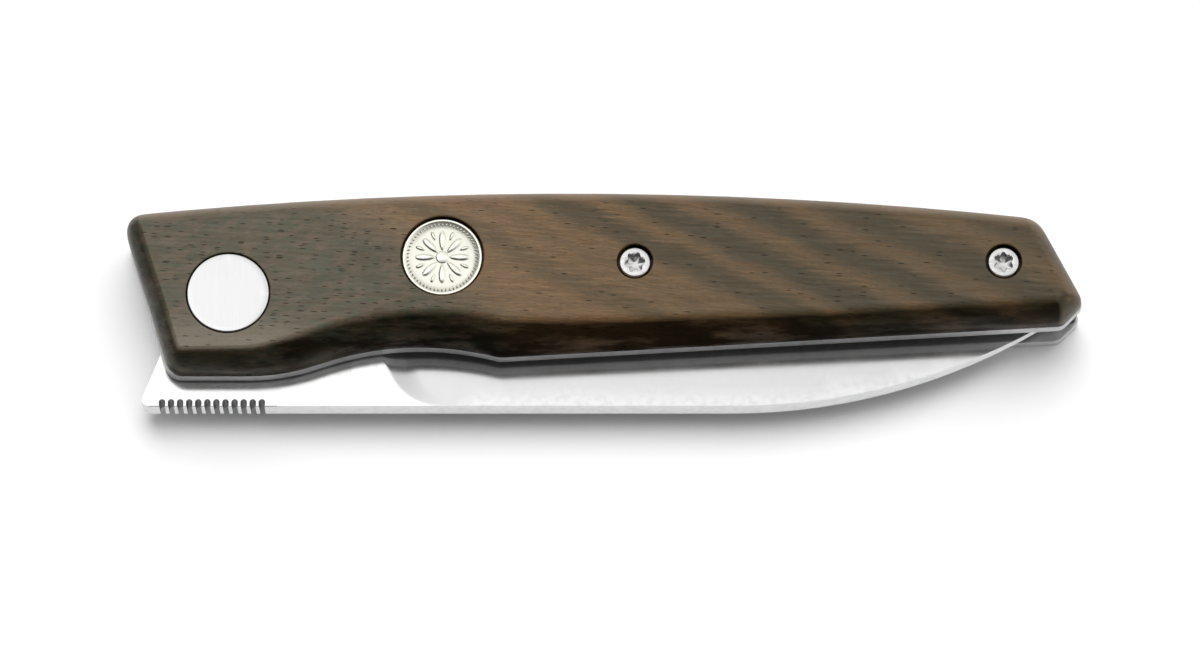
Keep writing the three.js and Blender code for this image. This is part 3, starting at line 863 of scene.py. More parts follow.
@dataclass(frozen=True)
class SteelFinish:
    """Bare steel, from mirror bright to belt ground.

    Attributes:
        name: Name of the material.
        level: Brightness of the metal.
        warmth: How much red leads blue.
        roughness: Middle roughness.
        line_turn: Direction of the belt lines, in degrees from the knife's length.
        line_depth: Depth of the belt lines, in metres.
        line_share: How much the lines change the roughness.
        line_tone: How much the lines darken the metal.
        fineness: Belt lines for each millimetre.
        scratches: Density of the handling scratches.
        upright: True where the lines run up and down the piece instead.
        metallic: Below 1 for a blasted face that scatters light.
    """

    name: str
    level: float = 0.6
    warmth: float = 0.0
    roughness: float = 0.25
    line_turn: float = 0.0
    line_depth: float = 0.002 * MM
    line_share: float = 0.12
    line_tone: float = 0.18
    fineness: float = 14.0
    scratches: float = 0.2
    upright: bool = False
    metallic: float = 1.0

    def make(self) -> bpy.types.Material:
        """Builds the material.

        Returns:
            The material.
        """
        surface = Surface(self.name)
        if self.upright:
            tipped = surface.add("ShaderNodeMapping", {
                "Vector": surface.place, "Rotation": (0, math.radians(90), 0),
            })
            place = tipped.outputs["Vector"]
        else:
            place = surface.stretched(surface.place, (1, 1, 1), self.line_turn)
        lines = surface.effect(EFFECTS.lines, Place=place, Fineness=self.fineness).outputs["Value"]
        marks = surface.effect(EFFECTS.marks, Density=self.scratches).outputs
        edge = surface.effect(EFFECTS.rubbed_and_back_light).outputs["Edge"]
        metal = (self.level * (1 + self.warmth), self.level, self.level * (1 - self.warmth), 1)
        tone = surface.mix(surface.ramp(lines, 0.25, 0.75), lit(metal, 1 - self.line_tone), metal)
        surface.feed("Base Color", surface.mix(edge, tone, lit(metal, 1.14)))
        surface.feed("Metallic", self.metallic)
        half = self.line_share / 2
        rough = surface.ramp(
            lines, 0.25, 0.75, self.roughness + half, max(0.02, self.roughness - half),
        )
        smear = surface.times(marks["Smear"], 0.25 * self.roughness)
        rough = surface.math("ADD", rough, smear)
        rough = surface.math("ADD", rough, surface.times(marks["Scratch"], 0.2))
        surface.feed("Roughness", rough)
        surface.bump(surface.math("SUBTRACT", lines, marks["Scratch"]), self.line_depth, 0.6)
        return surface.material


@dataclass(frozen=True)
class WoodBand:
    """One dark band of the wood's figure.

    Attributes:
        place: Distance of its middle across the bands, in millimetres.
        width: Width, in millimetres.
        depth: How dark it is, from 0 to 1.
    """

    place: float
    width: float
    depth: float


@dataclass(frozen=True)
class WoodFinish:
    """Dark oiled wood: grey brown towards the pivot, warm brown with slanting bands beyond.

    Attributes:
        grey_wood: Colour near the pivot.
        warm_wood: Colour of the warm figure.
        dark_wood: Colour of the bands.
        pore: Colour of the open pores.
        gold: Colour of the light flecks in the warm figure.
        moss: Colour of the cool clouds near the pivot.
        rust: Colour of the warm clouds near the pivot.
        ash: Colour of the pale patch below the pivot.
        painted_shade: Colour of the painted shade on the rounded edges, where little light falls.
        rubbed_and_back_light: Colour of the painted light on the back edge, which faces the light.
        band_lean: How steeply the bands run down towards the butt, in degrees.
        turnover_lean: How steeply the line runs down where grey turns to brown, in degrees.
        bands: The dark bands.
        turnover: Where grey turns to brown, across the bands, in millimetres.
        roughness: Middle roughness of the oiled surface.
        shine: How strongly it shines near the pivot and at the butt.
        shine_colour: Tint that the oil gives to its shine.
        painted_edge_shade: How strongly the painted shade darkens the rounded edges.
    """

    grey_wood: Colour = painted(50, 43, 25)
    warm_wood: Colour = painted(97, 70, 41)
    dark_wood: Colour = painted(41, 35, 17)
    pore: Colour = painted(14, 10, 6)
    gold: Colour = painted(132, 98, 63)
    moss: Colour = painted(34, 45, 33)
    rust: Colour = painted(76, 57, 43)
    ash: Colour = painted(100, 92, 80)
    painted_shade: Colour = painted(9, 8, 6)
    rubbed_and_back_light: Colour = painted(134, 108, 80)
    band_lean: float = 26.0
    turnover_lean: float = 38.0
    bands: tuple[WoodBand, ...] = (
        WoodBand(18.9, 2.4, 0.5), WoodBand(22.4, 1.4, 0.2), WoodBand(26.3, 2.7, 0.85),
        WoodBand(30.7, 3.3, 1.0), WoodBand(35.4, 3.0, 1.0), WoodBand(40.4, 3.4, 0.95),
        WoodBand(46.2, 3.4, 0.7),
    )
    turnover: float = 16.4
    roughness: float = 0.42
    shine: Pair = (1.0, 0.62)
    shine_colour: Colour = (1.0, 0.94, 0.8, 1.0)
    painted_edge_shade: float = 0.9

    def make(self, top: float) -> bpy.types.Material:
        """The material for a scale whose flat top has that height."""
        return WoodSurface(self, top).material


class WoodSurface(Surface):
    """The oiled wood under way, drawn in millimetres from the pivot.

    Attributes:
        finish: The colours and measures that it follows.
        figure: Coordinates from the pivot; x, y and z are its parts.
        fibres: Noise along the grain.
        hairs: Finer noise along the grain.
        cloud: Broad noise.
        bands: Where the wood is banded.
        warm: Where it is warm brown.
    """

    def __init__(self, finish: WoodFinish, top: float) -> None:
        """Builds the material.

        Args:
            finish: The colours and measures that it follows.
            top: Height of the scale's flat top.
        """
        super().__init__("oiled dark wood")
        self.finish = finish
        shifted = self.add("ShaderNodeMapping", {
            "Vector": self.place, "Location": (-PIVOT[0] / MM, -PIVOT[1] / MM, 0),
        }, vector_type="POINT")
        self.figure = shifted.outputs["Vector"]
        self.x, self.y, self.z = self.split(self.figure)
        self.fibres = self._layer((0.16, 2.4, 1.6), -3, 5)
        self.hairs = self._layer((0.7, 11, 8), -3)
        self.cloud = self._layer((0.1, 0.16, 0.2), -20, 3, 0.55)
        self.bands = self._bands()
        tilt = self._across(finish.turnover_lean)
        self.warm = self.ramp(tilt, finish.turnover - 3.5, finish.turnover + 4.5)
        pores, small = self._pores()
        # edge masks the painted shade on the rounded edges; back masks the painted light on the back
        # edge.
        edge, back = self._shaded_edges(top / MM)
        tone = self.mix(self._pale(edge), self._wood(), finish.ash)
        tone = self.mix(small, tone, finish.pore)
        tone = self.mix(pores, tone, finish.pore)
        # Painted shade: the rounded edges are mixed towards a near black where little light falls.
        tone = self.mix(edge, tone, finish.painted_shade)
        # Painted light: the back edge, which faces the light, is mixed towards a lighter brown.
        self.feed("Base Color", self.mix(back, tone, finish.rubbed_and_back_light))
        self._oil(pores, edge)
        relief = self.math("SUBTRACT", self.times(self.hairs, 0.25), pores)
        self.bump(relief, 0.03 * MM, 0.5)

    def _layer(
        self, scale: tuple[float, float, float], turn: float, detail: float = 3,
        roughness: float = 0.6,
    ) -> Socket:
        """A noise drawn out along the grain.

        Args:
            scale: Features for each millimetre along, across and through the grain.
            turn: Lean of the grain, in degrees.
            detail: Number of finer layers.
            roughness: Weight of the finer layers.

        Returns:
            The output.
        """
        return self.noise(self.stretched(self.figure, scale, turn), 1.0, detail, roughness)

    def _across(self, lean: float) -> Socket:
        """Distance across lines that lean down towards the butt, made wavy by the grain.

        Args:
            lean: Lean of the lines, in degrees.

        Returns:
            The distance, in millimetres.
        """
        slope = math.radians(lean)
        along, up = self.times(self.x, math.sin(slope)), self.times(self.y, math.cos(slope))
        wave = self.times(self.math("SUBTRACT", self.cloud, 0.5), 3.0)
        fray = self.times(self.math("SUBTRACT", self.fibres, 0.5), 2.6)
        return self.math("ADD", self.math("ADD", along, up), self.math("ADD", wave, fray))

    def _bands(self) -> Socket:
        """The dark bands as a mask.

        Returns:
            The mask.
        """
        across = self._across(self.finish.band_lean)
        masks = []
        for band in self.finish.bands:
            off = self.math("ABSOLUTE", self.math("SUBTRACT", across, band.place))
            masks.append(self.ramp(off, band.width * 0.15, band.width * 0.75, band.depth, 0))
        return self.most(*masks)

    def _wood(self) -> Socket:
        """The colour of the bare wood: clouds, bands and streaks, and painted shade towards the butt.

        Returns:
            The colour.
        """
        dark = self.finish.dark_wood
        tone = self.mix(self.warm, self._clouds(), self.finish.warm_wood)
        tone = self.mix(self.times(self.bands, self.warm), tone, dark)
        tone = self._streaks(tone)
        tone = self.mix(self.ramp(self.hairs, 0.62, 0.32, 0.0, 0.55), tone, dark)
        # Painted shade: less light reaches the butt, so the wood is mixed towards the dark colour
        # there.
        return self.mix(self.ramp(self.x, 20, 80, 0, 0.5), tone, dark)

    def _clouds(self) -> Socket:
        """The grey wood near the pivot, clouded with cooler and warmer brown.

        Returns:
            The colour.
        """
        finish = self.finish
        broad = self._layer((0.28, 0.75, 0.5), -14)
        other = self._layer((0.4, 1.0, 0.9), 21)
        flecks = self._layer((1.0, 3.4, 2.5), 4)
        tone = self.mix(self.ramp(broad, 0.42, 0.6, 0, 0.9), finish.grey_wood, finish.moss)
        tone = self.mix(self.ramp(other, 0.46, 0.64, 0, 0.85), tone, finish.rust)
        tone = self.mix(self.ramp(flecks, 0.54, 0.72, 0, 0.3), tone, lit(finish.rust, 1.5))
        return self.mix(self.ramp(flecks, 0.44, 0.3, 0, 0.3), tone, finish.pore)

    def _streaks(self, tone: Socket) -> Socket:
        """Light fibres that catch the light, strongest in the warm figure between the bands.

        Args:
            tone: The colour so far.

        Returns:
            The colour.
        """
        long = self._layer((0.2, 2.6, 1.6), -4, 4)
        short = self._layer((0.75, 7.0, 4.0), -7, 2, 0.5)
        light = self.mix(self.warm, lit(self.finish.grey_wood, 1.9), self.finish.gold)
        faded = self.math("MULTIPLY_ADD", self.bands, -0.6, 1.0)
        tone = self.mix(self.times(self.ramp(long, 0.42, 0.72, 0, 0.4), faded), tone, light)
        return self.mix(self.times(self.ramp(short, 0.52, 0.74, 0, 0.55), faded), tone, light)

    def _pores(self) -> list[Socket]:
        """Open pores: short dark dashes along the grain, most of them near the pivot.

        Returns:
            Masks of the long pores and of the small ones.
        """
        masks = []
        for scale, least, thick, depth in (
            ((0.7, 4.6, 2.2), 0.68, 0.35, 0.95), ((1.3, 8.0, 5.0), 0.45, 0.34, 0.5),
        ):
            cells = self.add("ShaderNodeTexVoronoi", {
                "Vector": self.stretched(self.figure, scale, -3), "Scale": 1.0,
                "Randomness": 1.0,
            }, feature="F1").outputs
            dash = self.ramp(cells["Distance"], thick * 0.5, thick, 1, 0)
            colour = self.add("ShaderNodeSeparateColor", {"Color": cells["Color"]})
            share = self.math("MULTIPLY_ADD", self.warm, 0.22, least)
            chosen = self.math("GREATER_THAN", colour.outputs["Red"], share)
            masks.append(self.times(dash, chosen, depth))
        return masks

    def _shaded_edges(self, top: float) -> tuple[Socket, Socket]:
        """Painted shade on the rounded edges, most of all at the mouth, where little light falls.

        Args:
            top: Height of the flat top, in millimetres.

        Returns:
            Masks of the painted shade on the edges, and of the painted light on the back edge.
        """
        along, across, _ = self.split(self.facing)
        # Painted shade: darker below the crease, on edges that face the mouth or the pivot end, in
        # patches, and not on edges that face the butt.
        below = self.ramp(self.z, top - 0.02, top - 0.35, 0, self.finish.painted_edge_shade)
        mouth = self.times(
            self.ramp(across, -0.12, -0.3), self.ramp(along, -0.62, -0.3),
            self.ramp(self.x, -4, 7, 0.76, 1), self.ramp(self.x, 60, 92, 1, 0.88),
        )
        end = self.times(
            self.ramp(along, -0.12, -0.25, 0, 0.74), self.ramp(along, -0.99, -0.85, 0.3, 1),
        )
        shade_patches = self.noise(self.stretched(self.place, (0.12, 0.5, 0.5)), 1.0, 3, 0.6)
        painted_shade = self.times(self.most(mouth, end, 0.26), self.ramp(shade_patches, 0.42, 0.66, 1, 0.72))
        butt = self.ramp(along, 0.15, 0.5, 1, 0)
        darkened = self.times(below, self.times(painted_shade, butt))
        # The second mask is painted light on edges that face the back, where the light comes from.
        return darkened, self.ramp(across, 0.35, 0.8, 0, 0.26)

    def _pale(self, edge: Socket) -> Socket:
        """The pale patch below the pivot, short of the painted edge shade."""
        places = self.times(self.ramp(self.y, -1, -6.5), self.ramp(self.x, 16, 3, 0, 0.75))
        return self.times(places, self.ramp(edge, 0, 0.4, 1, 0))

    def _oil(self, pores: Socket, edge: Socket) -> None:
        """Gives the wood its shine and its roughness.

        Args:
            pores: Where the long pores are open.
            edge: Where the painted shade lies on the edges, which also dulls their shine.
        """
        finish = self.finish
        shine = self.times(
            self.ramp(self.x, 5, 45, *finish.shine), self.ramp(self.fibres, 0.3, 0.7, 0.82, 1.18),
            self.math("MULTIPLY_ADD", edge, -1.1, 1.0),
        )
        self.feed("Specular IOR Level", shine)
        self.feed("Specular Tint", finish.shine_colour)
        rough = self.ramp(self.hairs, 0.3, 0.7, finish.roughness - 0.05, finish.roughness + 0.08)
        self.feed("Roughness", self.math("ADD", rough, self.times(pores, 0.3)))
        self.feed("IOR", 1.5)


@dataclass(frozen=True)
class NickelFinish:
    """Struck nickel silver: a matt ground under a bright relief.

    Attributes:
        bright: Colour of the relief.
        ground: Colour of the ground.
        step: Height of the relief, in metres.
    """

    bright: Colour = painted(226, 225, 214)
    ground: Colour = painted(232, 231, 219)
    step: float = 0.15 * MM

    def make(self, ground_height: float) -> bpy.types.Material:
        """Builds the material.

        Args:
            ground_height: Height of the matt ground.

        Returns:
            The material.
        """
        surface = Surface("struck nickel silver")
        low, high = ((ground_height + share * self.step) / MM for share in (0.1, 0.8))
        raised = surface.ramp(surface.split(surface.place)[2], low, high)
        smear = surface.effect(EFFECTS.marks, Density=0.3).outputs["Smear"]
        surface.feed("Base Color", surface.mix(raised, self.ground, self.bright))
        surface.feed("Metallic", 1.0)
        rough = surface.math("MULTIPLY_ADD", raised, -0.14, 0.38)
        surface.feed("Roughness", surface.math("MULTIPLY_ADD", smear, 0.06, rough))
        grains = surface.noise(surface.place, 9, 2)
        matt = surface.times(grains, surface.math("SUBTRACT", 1.0, raised))
        surface.bump(matt, 0.015 * MM, 0.6)
        return surface.material


@dataclass(frozen=True)
class PlainFinish:
    """A bearing bronze or a matt plastic: one colour with fine grain and edge wear.

    Attributes:
        name: Name of the material.
        colour: Main colour.
        metallic: 1 for metal and 0 for plastic.
        roughness: Middle roughness.
        grain: Noise features for each millimetre.
    """

    name: str
    colour: Colour
    metallic: float
    roughness: float
    grain: float = 6.0

    def make(self) -> bpy.types.Material:
        """Builds the material.

        Returns:
            The material.
        """
        surface = Surface(self.name)
        grains = surface.noise(surface.place, self.grain, 3)
        edge = surface.effect(EFFECTS.rubbed_and_back_light).outputs["Edge"]
        smear = surface.effect(EFFECTS.marks, Density=0.2).outputs["Smear"]
        tone = surface.mix(grains, lit(self.colour, 0.8), self.colour)
        surface.feed("Base Color", surface.mix(edge, tone, lit(self.colour, 1.35, 0.01)))
        surface.feed("Metallic", self.metallic)
        rough = surface.ramp(grains, 0.3, 0.7, self.roughness - 0.05, self.roughness + 0.05)
        surface.feed("Roughness", surface.math("MULTIPLY_ADD", smear, 0.08, rough))
        surface.bump(grains, 0.01 * MM, 0.4)
        return surface.material


class Finishes:
    """All materials of the knife, made once."""

    def __init__(self) -> None:
        """Makes them."""
        self.wood = WoodFinish().make(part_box("front_scale")[1].z)
        self.plate = SteelFinish("satin plate", level=0.55, roughness=0.42, scratches=0.3).make()
        self.plate_rim = SteelFinish(
            "cut plate edge", level=0.52, roughness=0.5, upright=True, fineness=6, metallic=0.92,
        ).make()
        polished = SteelFinish(
            "polished blade", level=0.65, roughness=0.15, line_turn=90, line_share=0.03,
            line_tone=0.03, line_depth=0.0002 * MM, fineness=9, scratches=0.1, metallic=0.9,
        )
        self.blade = polished.make()
        # Painted shade: a darker copy of the polished steel, so that the ground faces reflect less
        # light than the flat tang.
        self.ground = replace(polished, name="ground face", level=0.58).make()
        self.spine = SteelFinish(
            "satin spine", level=0.7, roughness=0.5, upright=True, fineness=10, metallic=0.0,
            line_tone=0.08,
        ).make()
        # Painted shade: a darker copy of the blade steel for the notches' walls, which lie in shade.
        self.notch = SteelFinish(
            "notch steel in painted shade", level=0.27, roughness=0.4, upright=True, fineness=10, metallic=0.9,
        ).make()
        self.disc = SteelFinish(
            "polished disc", level=0.53, roughness=0.13, line_turn=90, line_share=0.03,
            line_tone=0.04, line_depth=0.0002 * MM, fineness=11, scratches=0.12,
        ).make()
        self.screw = SteelFinish(
            "bright screw", level=0.56, warmth=0.015, roughness=0.24, line_share=0.1,
            fineness=5, line_depth=0.002 * MM,
        ).make()
        self.bronze = PlainFinish("bearing bronze", painted(196, 148, 84), 1.0, 0.32).make()
        self.spacer = PlainFinish("matt black spacer", painted(41, 41, 43), 0.0, 0.6, 9).make()


def hand_over(
    piece: Piece, body: Body, nodes: tuple[str, ...],
    materials: tuple[bpy.types.Material, ...],
) -> None:
    """Gives a finished piece its materials, its body and the nodes that it stands for.

    Args:
        piece: The finished object.
        body: The body that it moves with.
        nodes: The nodes that it replaces.
        materials: Its materials, in the order of its faces' numbers.
    """
    piece.data.materials.clear()
    for material in materials:
        piece.data.materials.append(material)
    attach(piece, body.value)
    report(piece, nodes)


def report(piece: Piece, nodes: tuple[str, ...]) -> None:
    """Hides the nodes that a piece replaces and logs them.

    Args:
        piece: The finished object.
        nodes: The nodes that it replaces.
    """
    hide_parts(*nodes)
    LOG.info("%s: %d faces, stands for %s", piece.name, len(piece.data.polygons), ", ".join(nodes))


def sides_of(piece: Piece, steepness: float = 0.5) -> None:
    """Gives the upright faces of a piece its second material."""
    for face in piece.data.polygons:
        face.material_index = 1 if abs(face.normal.z) < steepness else 0


# The knife's parts

@dataclass
class Part:
    """A part of the knife.

    Attributes:
        finishes: The knife's materials.
    """

    finishes: Finishes


@dataclass
class FrontScale(Part):
    """The wood scale: rounded edges that meet the flat top in a crease.

    Attributes:
        side_height: Height of the upright side.
        round_width: Width of the rounding, from the side to the crease.
        crease_tilt: Slope at which the rounding meets the flat top.
        mouth_extra: How much wider the rounding is along the mouth: pairs of distance along
            the knife from the pivot and extra width.
        end_narrower: How much narrower the rounding is at the pivot end.
        end_gap: How far the wood stays inside the liner at the pivot end: pairs of height
            above the pivot and gap.
        crease_blend: Half width of the softened crease, at the pivot, by the groove and
            towards the butt.
        foot_bevel: Bevel of the foot.
        round_steps: Steps across the rounding.
        bore_rim: Rounding of the bores' edges.
        counterbore_depth: Depth of the screws' counterbores.
        step: Distance between points of the outline.
    """

    side_height: float = 0.8 * MM
    round_width: float = 2.35 * MM
    crease_tilt: float = math.radians(18)
    mouth_extra: tuple[Pair, ...] = (
        (-8 * MM, 0.1 * MM), (3 * MM, 0.2 * MM), (5 * MM, 0.6 * MM), (8.3 * MM, 0.92 * MM),
        (15 * MM, 0.95 * MM), (22 * MM, 1.1 * MM), (29 * MM, 1.5 * MM), (31 * MM, 1.5 * MM),
        (38 * MM, 1.0 * MM), (46 * MM, 0.58 * MM), (54 * MM, 0.46 * MM), (61 * MM, 0.2 * MM),
        (68 * MM, 0),
    )
    end_narrower: float = 0.45 * MM
    end_gap: tuple[Pair, ...] = (
        (-6 * MM, 0.21 * MM), (-1 * MM, 0.17 * MM), (1.4 * MM, 0.08 * MM), (4 * MM, 0),
    )
    crease_blend: tuple[float, ...] = (0.04 * MM, 0.22 * MM, 0.22 * MM, 0.36 * MM)
    foot_bevel: float = 0.08 * MM
    round_steps: int = 14
    bore_rim: float = 0.06 * MM
    counterbore_depth: float = 1.8 * MM
    step: float = 0.3 * MM

    def build(self) -> Piece:
        """Makes the scale's mesh.

        Returns:
            The piece.
        """
        low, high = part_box("front_scale")
        outline = evened(section("front_scale", low.z + self.side_height / 2)[0], self.step, 6)
        draft = Draft()
        rings = self._rounding(draft, outline, low.z, high.z)
        top_rings, floor_rings = [rings[-1]], [rings[0]]
        for loop in section("front_scale", high.z - self.bore_rim)[1:]:
            top, floor = self._bore(draft, loop, low.z, high.z)
            top_rings.append(top)
            if floor:
                floor_rings.append(floor)
        draft.cap(top_rings)
        draft.cap(floor_rings)
        return shaded(draft.build("wood_scale"), 50)

    def _rounding(
        self, draft: Draft, outline: np.ndarray, bottom: float, top: float,
    ) -> list[list[int]]:
        """Adds the side and the rounding, from the bottom edge to the flat top.

        Args:
            draft: The mesh under way.
            outline: The scale's outline.
            bottom: Height of the scale's foot.
            top: Height of the flat top.

        Returns:
            The rings, lowest first.
        """
        facing = inward(outline)
        x, y = (outline - PIVOT).T
        end = np.clip(3 * facing[:, 0] - 0.6, 0, 1)
        outline = inset(outline, eased(np.interp(y, *np.array(self.end_gap).T) * end, 8))
        along = np.interp(x, *np.array(self.mouth_extra).T)
        width = self.round_width + along * np.clip(4 * facing[:, 1] - 1, 0, 1)
        width = eased(width - self.end_narrower * end)
        blend = np.interp(x, (2 * MM, 7 * MM, 40 * MM, 60 * MM), self.crease_blend)
        rise = top - bottom - self.side_height
        steepness = math.tan(self.crease_tilt) * width / rise
        whole = 1 - steepness / (1 - steepness)
        last = np.arccos(1 - whole * (1 - blend / width))
        rings = [draft.ring(inset(outline, np.full(len(outline), self.foot_bevel)), bottom)]
        rings.append(draft.ring(outline, bottom + self.foot_bevel))
        rings.append(draft.ring(outline, bottom + self.side_height))
        for i in range(1, self.round_steps + 1):
            sweep = last * i / self.round_steps
            share = (1 - np.cos(sweep)) / whole
            height = rise * np.sin(sweep) / np.sin(np.arccos(1 - whole))
            ring = draft.ring(inset(outline, width * share), bottom + self.side_height + height)
            rings.append(ring)
        rings.append(draft.ring(inset(outline, width), top - 0.09 * blend))
        rings.append(draft.ring(inset(outline, width + blend), top))
        rings.append(draft.ring(inset(outline, width + blend * 2), top))
        draft.stack(rings)
        return rings

    def _bore(
        self, draft: Draft, loop: np.ndarray, bottom: float, top: float,
    ) -> tuple[list[int], list[int] | None]:
        """Adds the wall of one bore: through for the pivot, with a floor for the others.

        Args:
            draft: The mesh under way.
            loop: The bore's outline.
            bottom: Height of the scale's foot.
            top: Height of the flat top.

        Returns:
            The ring in the flat top, and the ring in the foot where the bore goes through.
        """
        x, y, radius = fitted_circle(loop)
        through = math.dist((x, y), PIVOT) < radius
        if through:
            floor = bottom
        elif math.dist((x, y), centre_of("medallion")) < radius:
            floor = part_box("medallion")[0].z
        else:
            floor = top - self.counterbore_depth
        rim = self.bore_rim
        rings = [
            draft.ring(circle(x, y, radius + 4 * rim), top),
            draft.ring(circle(x, y, radius + rim), top),
            draft.ring(circle(x, y, radius + 0.3 * rim), top - 0.3 * rim),
            draft.ring(circle(x, y, radius), top - rim),
            draft.ring(circle(x, y, radius), floor),
        ]
        draft.stack(rings)
        if not through:
            draft.pole(rings[-1], floor)
        return rings[0], rings[-1] if through else None

    def dress(self) -> None:
        """Builds and finishes the scale."""
        nodes = ("front_scale",)
        hand_over(self.build(), Body.HANDLE, nodes, (self.finishes.wood,))


@dataclass
class Plates(Part):
    """The steel liner, the rear plate and the lock bar that is cut from it.

    Attributes:
        liner_edge: Rounding of the liner's edges.
        plate_edge: Rounding of the rear plate's edges.
        end_lip: How far the liner stands out past the wood at the pivot end: pairs of height
            above the pivot and distance.
        bend_length: Length of the lock bar's root that bends.
        bend_cuts: Cuts across that length.
    """

    liner_edge: float = 0.12 * MM
    plate_edge: float = 0.16 * MM
    end_lip: tuple[Pair, ...] = (
        (-7.6 * MM, 0), (-6.4 * MM, 0.36 * MM), (-3.4 * MM, 0.38 * MM), (1.4 * MM, 0.34 * MM),
        (3.2 * MM, 0.14 * MM), (4.2 * MM, 0),
    )
    bend_length: float = 9 * MM
    bend_cuts: int = 12

    def dress(self) -> None:
        """Builds and finishes the plates."""
        steel = (self.finishes.plate, self.finishes.plate_rim)
        liner = softened("front_liner", "steel_liner", self.liner_edge)
        self._stand_out(liner)
        rear = softened("rear_plate", "rear_frame_plate", self.plate_edge)
        for piece, node in ((liner, "front_liner"), (rear, "rear_plate")):
            hand_over(piece, Body.HANDLE, (node,), steel)
            sides_of(piece)
        self._lock_bar(steel)

    def _stand_out(self, piece: Piece) -> None:
        """Moves the liner's pivot end out, so that a thin line of it shows past the wood.

        Args:
            piece: The liner.
        """
        low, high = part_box("front_liner")
        outline = evened(section("front_liner", (low.z + high.z) / 2)[0], 0.3 * MM, 0)
        side = outline[inward(outline)[:, 0] > 0.5]
        side = side[np.argsort(side[:, 1])]
        lips = np.array(self.end_lip)
        for vertex in piece.data.vertices:
            past = vertex.co.x - np.interp(vertex.co.y, side[:, 1], side[:, 0])
            share = np.clip(1.5 - past / MM, 0, 1)
            vertex.co.x -= share * np.interp(vertex.co.y - PIVOT[1], lips[:, 0], lips[:, 1])

    def _lock_bar(self, steel: tuple[bpy.types.Material, ...]) -> None:
        """Makes the lock bar, which is carried on into the plate at its root and bends there.

        Args:
            steel: Materials of its faces and of its edges.
        """
        piece = softened("lock_bar", "lock_bar_spring", self.plate_edge)
        low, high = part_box("lock_bar")
        root = high.x
        reach = section("rear_plate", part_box("rear_plate")[1].z / 2)[0]
        wall = min(x for x, _ in reach if x > root + WELD)
        for vertex in piece.data.vertices:
            if vertex.co.x > root - self.plate_edge * 1.5:
                vertex.co.x += wall - root
        solid = bmesh.new()
        solid.from_mesh(piece.data)
        for i in range(self.bend_cuts + 1):
            x = root - self.bend_length * i / self.bend_cuts - self.plate_edge * 2
            everything = solid.verts[:] + solid.edges[:] + solid.faces[:]
            bmesh.ops.bisect_plane(
                solid, geom=everything, dist=WELD, plane_co=(x, 0, 0), plane_no=(1, 0, 0),
            )
        solid.to_mesh(piece.data)
        solid.free()
        for material in steel:
            piece.data.materials.append(material)
        sides_of(piece)
        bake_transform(piece)
        report(piece, ("lock_bar",))


